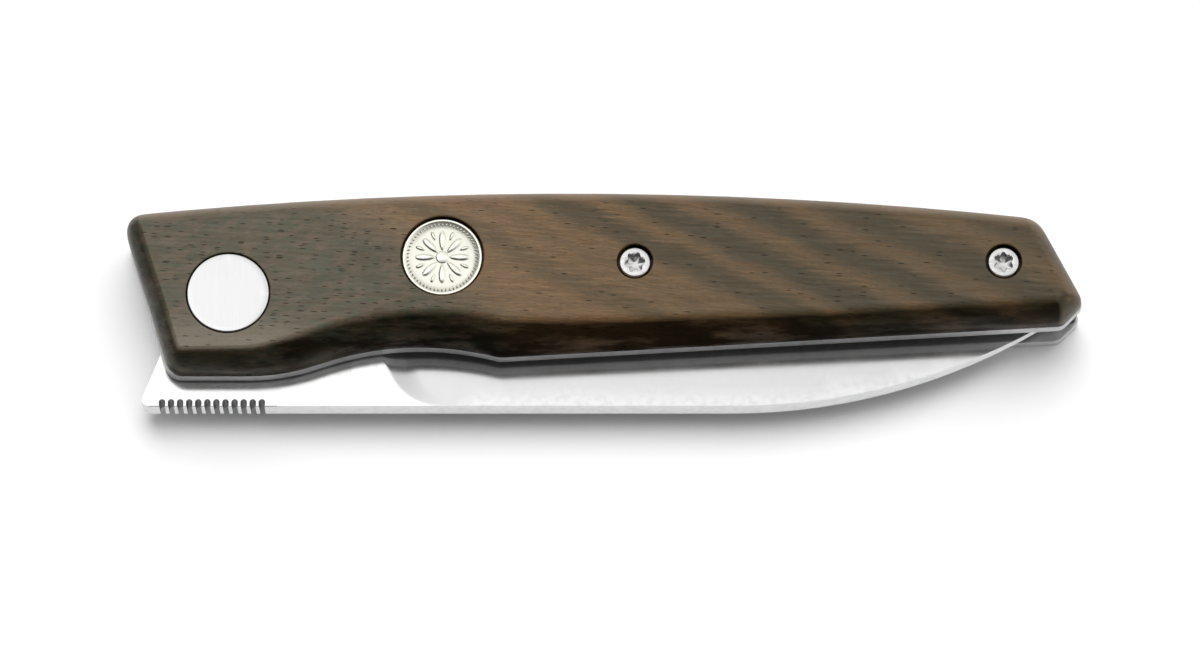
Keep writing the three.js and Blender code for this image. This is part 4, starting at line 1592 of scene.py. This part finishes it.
@dataclass
class Blade(Part):
    """The blade: a flat grind from the spine to the edge, and a full-thickness tang.

    Attributes:
        spine_thickness: Thickness of the tang and of the spine.
        edge_thickness: Thickness at the foot of the sharpened bevel.
        grind_rise: Height over which the grind thins.
        edge_bevel: Width of the sharpened bevel.
        plunge_x: Where the plunge leaves the heel, from the pivot.
        plunge_depth: How far below the pivot it starts to turn.
        plunge_turn_x: Where it turns towards the tip.
        plunge_end_x: Where it runs out at the spine.
        plunge_width: Width of the hollow that it runs out in.
        heel: Height above the pivot from which the heel is ground in full, and how far
            before the plunge that starts.
        rim: Width of the small bevel along the spine and the tang.
        rim_below: Upright part of a face's normal under which the face is of the rim.
        flat_above: Upright part over which it is of the flat sides.
        notches: Where the thumb notches start and end along the spine, from the pivot.
        fine: Spacing of points round the plunge.
        coarse: Spacing of points elsewhere.
    """

    spine_thickness: float = 3.0 * MM
    edge_thickness: float = 0.7 * MM
    grind_rise: float = 12.4 * MM
    edge_bevel: float = 0.85 * MM
    plunge_x: float = 17.2 * MM
    plunge_depth: float = 4.0 * MM
    plunge_turn_x: float = 19.0 * MM
    plunge_end_x: float = 24.2 * MM
    plunge_width: float = 3.4 * MM
    heel: Pair = (0.31 * MM, 0.4 * MM)
    rim: float = 0.08 * MM
    rim_below: float = 0.85
    flat_above: float = 0.9975
    notches: Pair = (-8.7 * MM, 5.0 * MM)
    fine: float = 0.2 * MM
    coarse: float = 1.5 * MM

    def build(self) -> Piece:
        """Makes the blade's mesh.

        Returns:
            The piece.
        """
        low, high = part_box("blade")
        middle = (low.z + high.z) / 2
        self.spine_y = low.y - PIVOT[1]
        loops = section("blade", middle + 0.01 * MM)
        outline = self._outline(loops[0] - PIVOT)
        self.edge_line, self.spine_line = self._edges(outline)
        thick = self.half_thickness(outline)
        rim = np.minimum(self.rim, 0.35 * thick)
        flat = outline + inward(outline) * rim[:, None]
        bores = [circle(*fitted_circle(loop - PIVOT)) for loop in loops[1:] if is_round(loop)]
        places, triangles, ring_numbers = self._triangles(flat, bores)
        half = self.half_thickness(places)
        draft = Draft()
        shifted = places + PIVOT
        top = draft.ring(shifted, middle + half)
        bottom = draft.ring(shifted, middle - half)
        for a, b, c in triangles:
            draft.faces.append((top[a], top[b], top[c]))
            draft.faces.append((bottom[a], bottom[c], bottom[b]))
        outer = ring_numbers[0]
        side = outline + PIVOT
        upper = draft.ring(side, middle + thick - rim)
        lower = draft.ring(side, middle - thick + rim)
        draft.bridge([top[i] for i in outer], upper)
        draft.bridge(upper, lower)
        draft.bridge(lower, [bottom[i] for i in outer])
        for numbers in ring_numbers[1:]:
            draft.bridge([top[i] for i in numbers], [bottom[i] for i in numbers])
        return shaded(draft.build("folding_blade"), 9)

    def _outline(self, loop: np.ndarray) -> np.ndarray:
        """Adds points along the long stretches of the outline, and keeps its corners.

        Args:
            loop: The outline about the pivot.

        Returns:
            The outline with no long stretch between points.
        """
        points = []
        for start, end in zip(loop, np.roll(loop, -1, axis=0)):
            count = max(1, math.ceil(math.dist(start, end) / self.coarse))
            points.extend(start + (end - start) * i / count for i in range(count))
        return np.array(points)

    def _edges(self, outline: np.ndarray) -> tuple[np.ndarray, np.ndarray]:
        """Finds the cutting edge and the spine in the outline.

        Args:
            outline: The outline about the pivot.

        Returns:
            Rows of x and y of the edge and of the spine, in order of x.
        """
        facing = inward(outline)[:, 1]
        ground = outline[:, 0] > self.plunge_x
        edge = outline[ground & (facing < -0.2)]
        spine = outline[ground & (facing > 0.2)]
        return edge[np.argsort(edge[:, 0])], spine[np.argsort(spine[:, 0])]

    def _plunge_at(self, y: np.ndarray) -> np.ndarray:
        """Where the plunge lies at a height: a curve from the heel that runs out at the spine.

        Args:
            y: Heights about the pivot.

        Returns:
            The plunge's x about the pivot.
        """
        fall = -self.plunge_depth - self.spine_y
        left = np.sqrt(np.clip((y - self.spine_y) / fall, 0, 1))
        right = 1 - left
        return (
            self.plunge_x * left ** 2 + 2 * self.plunge_turn_x * left * right
            + self.plunge_end_x * right ** 2
        )

    def half_thickness(self, places: np.ndarray) -> np.ndarray:
        """Half the blade's thickness.

        Args:
            places: Rows of x and y about the pivot.

        Returns:
            One value for each place, in metres.
        """
        x, y = places[:, 0], places[:, 1]
        full = self.spine_thickness / 2
        slope = (self.edge_thickness - self.spine_thickness) / 2 / self.grind_rise
        edge = np.interp(x, self.edge_line[:, 0], self.edge_line[:, 1])
        spine = np.interp(x, self.spine_line[:, 0], self.spine_line[:, 1])
        bevel = np.maximum(np.minimum(self.edge_bevel, (edge - spine) / 2), WELD)
        ground = full + slope * (np.minimum(y, edge - bevel) - self.spine_y)
        ground = ground * np.clip((edge - y) / bevel, 0, 1)
        step = 1 - (1 - np.clip((x - self._plunge_at(y)) / self.plunge_width, 0, 1)) ** 2
        heel = (y > self.heel[0]) & (x > self.plunge_x - self.heel[1])
        step = np.where(heel, 1, step)
        return full - (full - np.minimum(ground, full)) * step

    def _grid(self, flat: np.ndarray, spacing: float, box: tuple[float, ...]) -> np.ndarray:
        """Points of a square grid that lie well inside the blade.

        Args:
            flat: The outline of the flat sides.
            spacing: Spacing of the grid.
            box: Lowest and highest x and y.

        Returns:
            Rows of x and y.
        """
        x, y = np.meshgrid(np.arange(box[0], box[1], spacing), np.arange(box[2], box[3], spacing))
        points = np.stack([x.ravel(), y.ravel()], axis=1)
        points = points[inside(points, flat)]
        gaps = np.linalg.norm(points[:, None, :] - flat[None, :, :], axis=2).min(axis=1)
        return points[gaps > spacing * 0.45]

    def _triangles(
        self, flat: np.ndarray, bores: list[np.ndarray],
    ) -> tuple[np.ndarray, list[tuple[int, ...]], list[list[int]]]:
        """Divides the flat sides into triangles.

        Args:
            flat: The outline of the flat sides.
            bores: The bores' outlines.

        Returns:
            The points, the triangles between them, and the points of each ring.
        """
        left, right = self.plunge_x - MM, self.plunge_end_x + 2 * MM
        near = self._grid(flat, self.fine, (left, right, self.spine_y, 0.2 * MM))
        x = flat[:, 0]
        far = self._grid(flat, self.coarse, (x.min(), x.max(), self.spine_y, 9 * MM))
        far = far[(far[:, 0] < left) | (far[:, 0] > right)]
        shoulder = self.edge_line[self.edge_line[:, 0] > self.plunge_x + MM][:-2] - (0, self.edge_bevel)
        points, edges, numbers = [], [], []
        for span in (flat, *bores):
            first = len(points)
            points.extend(span)
            ring = list(range(first, len(points)))
            numbers.append(ring)
            edges.extend(zip(ring, ring[1:] + ring[:1]))
        first = len(points)
        points.extend(shoulder)
        edges.extend(zip(range(first, len(points) - 1), range(first + 1, len(points))))
        points.extend(near)
        points.extend(far)
        scaled = [Vector(point / MM) for point in points]
        made = delaunay_2d_cdt(scaled, edges, [], 1, 1e-6)
        places = np.array([tuple(point) for point in made[0]]) * MM
        number_of = {old: new for new, olds in enumerate(made[3]) for old in olds}
        middles = np.array([places[list(face)].mean(axis=0) for face in made[2]])
        keep = np.ones(len(middles), bool)
        for bore in bores:
            keep &= ~inside(middles, bore)
        triangles = [face for face, kept in zip(made[2], keep) if kept]
        return places, triangles, [[number_of[i] for i in ring] for ring in numbers]

    def dress(self) -> None:
        """Builds and finishes the blade."""
        piece = self.build()
        looks = self.finishes
        steel = (looks.blade, looks.spine, looks.notch, looks.ground)
        hand_over(piece, Body.BLADE, ("blade",), steel)
        sides_of(piece, self.rim_below)
        for face in piece.data.polygons:
            # Ground faces take that darker copy: painted shade that dims their reflection.
            if self.rim_below <= abs(face.normal.z) < self.flat_above:
                face.material_index = 3
            x, y = face.center.x - PIVOT[0], face.center.y - PIVOT[1]
            along = self.notches[0] < x < self.notches[1]
            # The notches' walls take the darker steel: painted shade in their recesses.
            if face.material_index == 1 and along and self.spine_y + WELD < y < self.spine_y + MM:
                face.material_index = 2


@dataclass
class SixLobeScrew:
    """A screw with a six-lobe socket, drawn from its socket to its tip.

    Attributes:
        profile: Pairs of radius and depth below the head's face, from the face's rim to the tip.
        socket_radius: Middle radius of the socket.
        socket_lobe: Reach of its lobes.
        socket_depth: Depth of its walls.
        rounding: Rounding of the socket's mouth.
        hollow: Pairs of radius and depth of the drilled hollow in its floor.
    """

    profile: list[Pair]
    socket_radius: float = 1.01 * MM
    socket_lobe: float = 0.16 * MM
    socket_depth: float = 0.95 * MM
    rounding: float = 0.05 * MM
    hollow: tuple[Pair, ...] = ((0.3 * MM, 0.16 * MM), (0.42 * MM, 0.15 * MM))

    def build(self, name: str, face: float, up: bool) -> Piece:
        """Makes the screw's mesh about the upright axis.

        Args:
            name: Name of the piece.
            face: Height of the head's face.
            up: True where the face looks up.

        Returns:
            The piece.
        """
        into = -1 if up else 1
        draft = Draft()
        lobes = six_lobes(self.socket_radius, self.socket_lobe)
        narrow = six_lobes(self.socket_radius - 0.04 * MM, self.socket_lobe)
        wide = six_lobes(self.socket_radius + self.rounding, self.socket_lobe)
        floor = face + into * self.socket_depth
        rings = [draft.ring(circle(0, 0, r), floor + into * depth) for r, depth in self.hollow]
        rings += [
            draft.ring(narrow * 0.9, floor + into * 0.03 * MM),
            draft.ring(narrow, floor),
            draft.ring(lobes, face + into * self.rounding),
            draft.ring(lobes * 0.5 + wide * 0.5, face + into * 0.3 * self.rounding),
            draft.ring(wide, face),
        ]
        rings += [draft.ring(circle(0, 0, r), face + into * depth) for r, depth in self.profile]
        draft.stack(rings)
        draft.pole(rings[0], floor + into * self.hollow[0][1])
        draft.pole(rings[-1], face + into * self.profile[-1][1])
        return draft.build(name)


@dataclass
class HandleScrews(Part):
    """The four handle screws and the two standoffs that they draw up.

    Attributes:
        head_radius: Radius of the front screws' heads.
        head_height: Height of the front screws' heads.
        rim: Rounding of their rims.
        face_ring: Radius of the points on their faces between socket and rim.
        thread_radius: Radius of all shanks.
        rear_radius: Radius of the rear screws' heads.
        rear_rim: Height of the rear heads' rims.
        rear_bevel: Bevel of those rims.
        sleeve_edge: Rounding of the standoffs' edges.
        first_turn: How far the first socket is turned.
        turn: How much further the next socket is turned.
        copies: The tree that copies a shape along a line.
    """

    head_radius: float = 1.82 * MM
    head_height: float = 1.45 * MM
    rim: float = 0.2 * MM
    face_ring: float = 1.3 * MM
    thread_radius: float = 1.2 * MM
    rear_radius: float = 1.9 * MM
    rear_rim: float = 0.2 * MM
    rear_bevel: float = 0.08 * MM
    sleeve_edge: float = 0.1 * MM
    first_turn: float = math.radians(8)
    turn: float = math.radians(21)
    copies: CopyTree = field(default_factory=line_tree)

    def dress(self) -> None:
        """Builds and finishes the screws and standoffs."""
        self._screws("front", self._front_profile(), True)
        self._screws("rear", self._rear_profile(), False)
        for node in ("mid_standoff", "butt_standoff"):
            piece = softened(node, f"{node}_sleeve", self.sleeve_edge)
            hand_over(piece, Body.HANDLE, (node,), (self.finishes.screw,))

    def _front_profile(self) -> list[Pair]:
        """The outline of the front screws.

        Returns:
            Radius and depth from the head's rim to the tip.
        """
        low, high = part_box("front_mid_screw")
        rim = rounded_corner(self.head_radius, 0, self.rim, down=False)
        return [
            (self.face_ring, 0), *rim, (self.head_radius, self.head_height),
            (self.thread_radius, self.head_height), (self.thread_radius, high.z - low.z),
        ]

    def _rear_profile(self) -> list[Pair]:
        """The outline of the rear screws.

        Returns:
            Radius and depth from the head's rim to the tip.
        """
        low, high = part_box("rear_mid_screw")
        neck = self.rear_rim + self.rear_radius - self.thread_radius
        return [
            (self.rear_radius - self.rear_bevel, 0), (self.rear_radius, self.rear_bevel),
            (self.rear_radius, self.rear_rim), (self.thread_radius, neck),
            (self.thread_radius, high.z - low.z),
        ]

    def _screws(self, side: str, profile: list[Pair], up: bool) -> None:
        """Makes the two screws of one side from one shape.

        Args:
            side: front or rear, as in the nodes' names.
            profile: Radius and depth from the head to the tip.
            up: True where the heads look up.
        """
        nodes = (f"{side}_mid_screw", f"{side}_butt_screw")
        low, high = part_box(nodes[0])
        piece = SixLobeScrew(profile).build(f"{side}_screws", high.z if up else low.z, up)
        start, end = (Vector((*centre_of(node), 0)) for node in nodes)
        self.copies.apply(
            piece, Count=2, Start=start, Spacing=end - start, First_turn=self.first_turn,
            Turn=self.turn, Material=self.finishes.screw,
        )
        hand_over(shaded(piece), Body.HANDLE, nodes, (self.finishes.screw,))


@dataclass
class Pivot(Part):
    """The pivot: a polished disc on a barrel, the screw in its foot, the bushing and washers.

    Attributes:
        disc_radius: Radius of the disc.
        disc_rim: Rounding of its rim.
        barrel_radius: Radius of the barrel.
        bore_radius: Radius of the threaded bore in its foot.
        bore_depth: Depth of that bore.
        screw_head: Radius of the screw's head.
        screw_head_height: Height of the screw's head.
        screw_face_ring: Radius of the points on its face between socket and rim.
        screw_bevel: Bevel of the screw head's rim.
        screw_radius: Radius of the screw's shank.
        bearing_edge: Rounding of the edges of the bushing and the washers.
    """

    disc_radius: float = 4.7 * MM
    disc_rim: float = 0.12 * MM
    barrel_radius: float = 2.5 * MM
    bore_radius: float = 1.5 * MM
    bore_depth: float = 4.79 * MM
    screw_head: float = 3.3 * MM
    screw_head_height: float = 0.8 * MM
    screw_face_ring: float = 2.2 * MM
    screw_bevel: float = 0.12 * MM
    screw_radius: float = 1.45 * MM
    bearing_edge: float = 0.05 * MM

    def dress(self) -> None:
        """Builds and finishes the pivot's pieces."""
        self._barrel()
        self._screw()
        for node in ("pivot_bushing", "rear_washer", "front_washer"):
            piece = softened(node, f"bronze_{node}", self.bearing_edge)
            hand_over(piece, Body.HANDLE, (node,), (self.finishes.bronze,))

    def _barrel(self) -> None:
        """Makes the disc and its barrel in one."""
        low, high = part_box("pivot_barrel")
        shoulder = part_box("front_liner")[1].z
        rings = [(self.disc_radius * share, high.z) for share in (0.3, 0.6, 0.85)]
        rim = rounded_corner(self.disc_radius, high.z, self.disc_rim, down=True)
        piece = turned("pivot_disc_and_barrel", [
            (0, high.z), *rings, *rim, (self.disc_radius, shoulder),
            (self.barrel_radius, shoulder), (self.barrel_radius, low.z),
            (self.bore_radius, low.z), (self.bore_radius, low.z + self.bore_depth),
            (0, low.z + self.bore_depth),
        ], PIVOT)
        hand_over(piece, Body.HANDLE, ("pivot_barrel",), (self.finishes.disc,))

    def _screw(self) -> None:
        """Makes the screw in the barrel's foot."""
        low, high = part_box("pivot_screw")
        head, shank, height = self.screw_head, self.screw_radius, self.screw_head_height
        profile = [
            (self.screw_face_ring, 0), (head - self.screw_bevel, 0), (head, self.screw_bevel),
            (head, height), (shank, height), (shank, high.z - low.z),
        ]
        piece = SixLobeScrew(profile).build("pivot_foot_screw", low.z, False)
        for vertex in piece.data.vertices:
            vertex.co.x += PIVOT[0]
            vertex.co.y += PIVOT[1]
        nodes = ("pivot_screw",)
        hand_over(shaded(piece), Body.HANDLE, nodes, (self.finishes.screw,))


@dataclass
class Medallion(Part):
    """A struck coin set in the wood: a rosette of petals in a ring of beads.

    Attributes:
        radius: Radius of the coin.
        rim_width: Width of its raised rim.
        rim_edge: Rounding of the rim's outer edge.
        relief: Height of the relief.
        petals: Number of petals.
        petal_length: Length of a petal.
        petal_width: Width of a petal.
        petal_start: Distance of a petal's root from the middle.
        leaf_length: Length of the small leaves between the petals.
        leaf_width: Width of the small leaves.
        leaf_reach: Distance of their middles from the coin's.
        beads: Number of beads inside the rim.
        bead_radius: Radius of a bead.
        bead_inset: Distance of the beads' middles from the rim.
        boss_radius: Radius of the middle boss.
        boss_sunk: How deep the boss's foot is sunk in the ground.
        sunk: How deep the feet of petals, leaves and beads are sunk.
        leaf_steps: Points round a leaf.
        copies: The tree that copies a shape round a circle.
    """

    radius: float = 4.6 * MM
    rim_width: float = 0.42 * MM
    rim_edge: float = 0.1 * MM
    relief: float = 0.15 * MM
    petals: int = 8
    petal_length: float = 2.35 * MM
    petal_width: float = 0.98 * MM
    petal_start: float = 0.8 * MM
    leaf_length: float = 1.1 * MM
    leaf_width: float = 0.5 * MM
    leaf_reach: float = 2.75 * MM
    beads: int = 56
    bead_radius: float = 0.14 * MM
    bead_inset: float = 0.26 * MM
    boss_radius: float = 0.8 * MM
    boss_sunk: float = 0.02 * MM
    sunk: float = 0.03 * MM
    leaf_steps: int = 20
    copies: CopyTree = field(default_factory=wreath_tree)

    def dress(self) -> None:
        """Builds and finishes the medallion."""
        low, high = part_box("medallion")
        place = Vector((*centre_of("medallion"), 0))
        ground = high.z - self.relief
        nickel = NickelFinish(step=self.relief).make(ground)
        bead = 2 * self.bead_radius
        shapes = [self._coin(low.z, high.z, place[:2])]
        for name, length, width, count, reach, first in (
            ("petal", self.petal_length, self.petal_width, self.petals,
             self.petal_start + self.petal_length / 2, 0.0),
            ("leaf", self.leaf_length, self.leaf_width, self.petals, self.leaf_reach,
             math.pi / self.petals),
            ("bead", bead, bead, self.beads, self.radius - self.rim_width - self.bead_inset, 0.0),
        ):
            shape = self._leaf(name, length, width, ground)
            shapes.append(self.copies.apply(
                shape, Count=count, Radius=reach, Centre=place, First_turn=first,
                Material=nickel,
            ))
        foot = ground - self.boss_sunk
        boss = [(self.boss_radius * share, ground + self.relief * rise)
                for share, rise in ((0, 0.95), (0.5, 0.85), (0.8, 0.5))]
        shapes.append(turned("boss", [*boss, (self.boss_radius, foot), (0, foot)], place[:2]))
        piece = shaded(self._joined(shapes))
        hand_over(piece, Body.HANDLE, ("medallion",), (nickel,))

    def _coin(self, bottom: float, top: float, place: Pair) -> Piece:
        """The coin without its relief, with a rounded rim.

        Args:
            bottom: Height of its foot.
            top: Height of its rim.
            place: Its middle.

        Returns:
            The shape.
        """
        ground = top - self.relief
        inner = self.radius - self.rim_width
        rim = rounded_corner(self.radius, top, self.rim_edge, down=True)
        return turned("rosette_medallion", [
            (0, ground), (0.4 * inner, ground), (0.8 * inner, ground), (inner, ground),
            (inner + 0.08 * MM, top - 0.02 * MM), (inner + 0.14 * MM, top), *rim,
            (self.radius, bottom), (0, bottom),
        ], place)

    def _leaf(self, name: str, length: float, width: float, ground: float) -> Piece:
        """A domed leaf that lies along the x axis, with a ridge down its middle.

        Args:
            name: Name of the shape.
            length: Length of the leaf.
            width: Width of the leaf.
            ground: Height that it stands on.

        Returns:
            The shape.
        """
        angles = np.linspace(0, 2 * math.pi, self.leaf_steps, endpoint=False)
        outline = np.stack([
            length / 2 * np.cos(angles), width / 2 * np.sin(angles) * (0.82 + 0.18 * np.cos(angles)),
        ], axis=1)
        draft = Draft()
        rings = [draft.ring(outline, ground - self.sunk)]
        for share, rise in ((1, 0.3), (0.86, 0.68), ((0.6, 0.45), 0.92)):
            rings.append(draft.ring(outline * share, ground + rise * self.relief))
        draft.stack(rings)
        draft.pole(rings[0], ground - self.sunk)
        draft.pole(rings[-1], ground + 0.98 * self.relief)
        return draft.build(name)

    def _joined(self, shapes: list[Piece]) -> Piece:
        """Joins the coin and its relief.

        Args:
            shapes: The coin first.

        Returns:
            The coin's object with all of them.
        """
        whole = bmesh.new()
        for shape in shapes:
            whole.from_mesh(shape.data)
        whole.to_mesh(shapes[0].data)
        whole.free()
        for shape in shapes[1:]:
            bpy.data.objects.remove(shape)
        return shapes[0]


@dataclass
class Inside(Part):
    """What stands between the plates: the back spacer, the stop pin and the detent ball.

    Attributes:
        spacer_edge: Rounding of the spacer's edges.
        pin_edge: Rounding of the stop pin's ends.
    """

    spacer_edge: float = 0.15 * MM
    pin_edge: float = 0.1 * MM

    def dress(self) -> None:
        """Builds and finishes them."""
        spacer = softened("back_spacer", "back_spacer_block", self.spacer_edge)
        hand_over(spacer, Body.HANDLE, ("back_spacer",), (self.finishes.spacer,))
        pin = softened("stop_pin", "stop_pin_rod", self.pin_edge)
        hand_over(pin, Body.HANDLE, ("stop_pin",), (self.finishes.screw,))
        self._ball()

    def _ball(self) -> None:
        """Makes the detent ball, with the small flat that it was ground with underneath."""
        low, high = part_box("detent_ball")
        radius = (high.x - low.x) / 2
        middle = high.z - radius
        profile = [(0, high.z)]
        for i in range(1, 16):
            angle = math.pi * i / 17
            profile.append((radius * math.sin(angle), middle + radius * math.cos(angle)))
        profile.append((0, profile[-1][1]))
        piece = turned("detent_steel_ball", profile, centre_of("detent_ball"))
        hand_over(piece, Body.LOCK_BAR, ("detent_ball",), (self.finishes.screw,))


# The studio

@dataclass
class Studio:
    """A pale floor, a soft overhead light and the photograph's view.

    Attributes:
        elevation: How steeply the camera looks down, in degrees.
        distance: Distance from the camera to what it looks at.
        target: The point that it looks at.
        focal_pixels: Focal length in pixels of the photograph.
        sun_lean: How far the main light leans from upright towards the back, in degrees.
        sun_spread: Its width in the sky, in degrees.
        sun_strength: Its strength.
        fill_lean: How far the weak light in front leans from upright, in degrees.
        fill_spread: Its width in the sky, in degrees.
        fill_strength: Its strength.
        floor_seen: How light the floor shows to the camera.
        floor_level: How light it is for what it lights.
        glow: Light that comes from every side.
    """

    elevation: float = 72.5
    distance: float = 0.7
    target: tuple[float, float, float] = (-0.407 * MM, -2.449 * MM, 5.0 * MM)
    focal_pixels: float = 6055.0
    sun_lean: float = 31.0
    sun_spread: float = 56.0
    sun_strength: float = 2.2
    fill_lean: float = 85.0
    fill_spread: float = 8.0
    fill_strength: float = 0.5
    floor_seen: float = 0.875
    floor_level: float = 0.9
    glow: float = 0.11

    def build(self) -> None:
        """Makes the camera, the floor and the lights."""
        self._camera()
        self._floor()
        self._lamp("main light", -self.sun_lean, self.sun_spread, self.sun_strength)
        self._lamp("front light", self.fill_lean, self.fill_spread, self.fill_strength)
        self._sky()
        bpy.context.scene.view_settings.view_transform = "Standard"

    def _camera(self) -> None:
        """Stands the camera where the photograph was taken from."""
        lens = bpy.data.cameras.new("camera")
        lens.sensor_width = 36
        lens.lens = self.focal_pixels * lens.sensor_width / PHOTO_WIDTH
        lens.clip_start = 0.01
        lens.clip_end = 50
        camera = bpy.data.objects.new("camera", lens)
        slope = math.radians(self.elevation)
        back = Vector((0, -math.cos(slope), math.sin(slope)))
        camera.location = Vector(self.target) + back * self.distance
        camera.rotation_euler = (math.radians(90 - self.elevation), 0, 0)
        bpy.context.scene.collection.objects.link(camera)
        bpy.context.scene.camera = camera

    def _floor(self) -> None:
        """Lays a plain pale floor that keeps the knife's shadow."""
        half = 8.0
        mesh = bpy.data.meshes.new("floor")
        corners = [(-half, -half, 0), (half, -half, 0), (half, half, 0), (-half, half, 0)]
        mesh.from_pydata(corners, [], [(0, 1, 2, 3)])
        floor = linked("floor", mesh)
        floor.location.z = -0.02 * MM
        material = bpy.data.materials.new("pale floor")
        material.use_nodes = True
        bench = ShadingBench(material.node_tree)
        bench.tree.nodes.clear()
        rays = bench.add("ShaderNodeLightPath")
        tone = bench.mix(rays.outputs["Is Camera Ray"], grey(self.floor_level), grey(self.floor_seen))
        plain = bench.add("ShaderNodeBsdfDiffuse", {"Color": tone})
        bench.add("ShaderNodeOutputMaterial", {"Surface": plain.outputs["BSDF"]})
        mesh.materials.append(material)

    def _lamp(self, name: str, lean: float, spread: float, strength: float) -> None:
        """Hangs a wide light that shows in no reflection.

        Args:
            name: Name of the light.
            lean: How far it leans from upright towards the front, in degrees.
            spread: Its width in the sky, in degrees.
            strength: Its strength.
        """
        light = bpy.data.lights.new(name, "SUN")
        light.energy = strength
        light.angle = math.radians(spread)
        lamp = bpy.data.objects.new(name, light)
        lamp.rotation_euler = (math.radians(lean), 0, 0)
        lamp.visible_glossy = False
        bpy.context.scene.collection.objects.link(lamp)

    def _sky(self) -> None:
        """A white backdrop for the camera, and a soft studio for what the light meets."""
        world = bpy.data.worlds.new("studio")
        bpy.context.scene.world = world
        world.use_nodes = True
        bench = ShadingBench(world.node_tree)
        bench.tree.nodes.clear()
        where = bench.add("ShaderNodeTexCoord")
        x, y, z = bench.split(where.outputs["Generated"])
        lean = bench.times(bench.math("ARCTAN2", y, z), 180 / math.pi)
        panel = bench.times(
            bench.ramp(lean, -4, 7), bench.ramp(lean, 13, 45, 1.75, 1.0),
            bench.ramp(lean, 34, 70, 1, 0.8), bench.ramp(x, -0.62, -0.38),
            bench.ramp(x, -0.08, 0.14, 1, 0.75),
        )
        side = bench.times(bench.ramp(x, 0.15, 0.6), bench.ramp(y, -0.75, -0.2, 0, 1.0))
        low = bench.times(bench.ramp(z, 0.12, 0.42, 1, 0), bench.ramp(y, -0.9, -0.2, 0.4, 1.2))
        light = bench.math("ADD", bench.most(panel, side, low), self.glow)
        rays = bench.add("ShaderNodeLightPath")
        seen = bench.mix(rays.outputs["Is Camera Ray"], light, grey(1.0))
        glow = bench.add("ShaderNodeBackground", {"Color": seen, "Strength": 1.0})
        bench.add("ShaderNodeOutputWorld", {"Surface": glow.outputs["Background"]})


def main() -> None:
    """Builds every part of the knife and the studio."""
    logging.basicConfig(level=logging.INFO, format="%(name)s: %(message)s")
    finishes = Finishes()
    for part in (FrontScale, Plates, Blade, HandleScrews, Pivot, Medallion, Inside):
        part(finishes).dress()
    Studio().build()


if __name__ == "__main__":
    main()
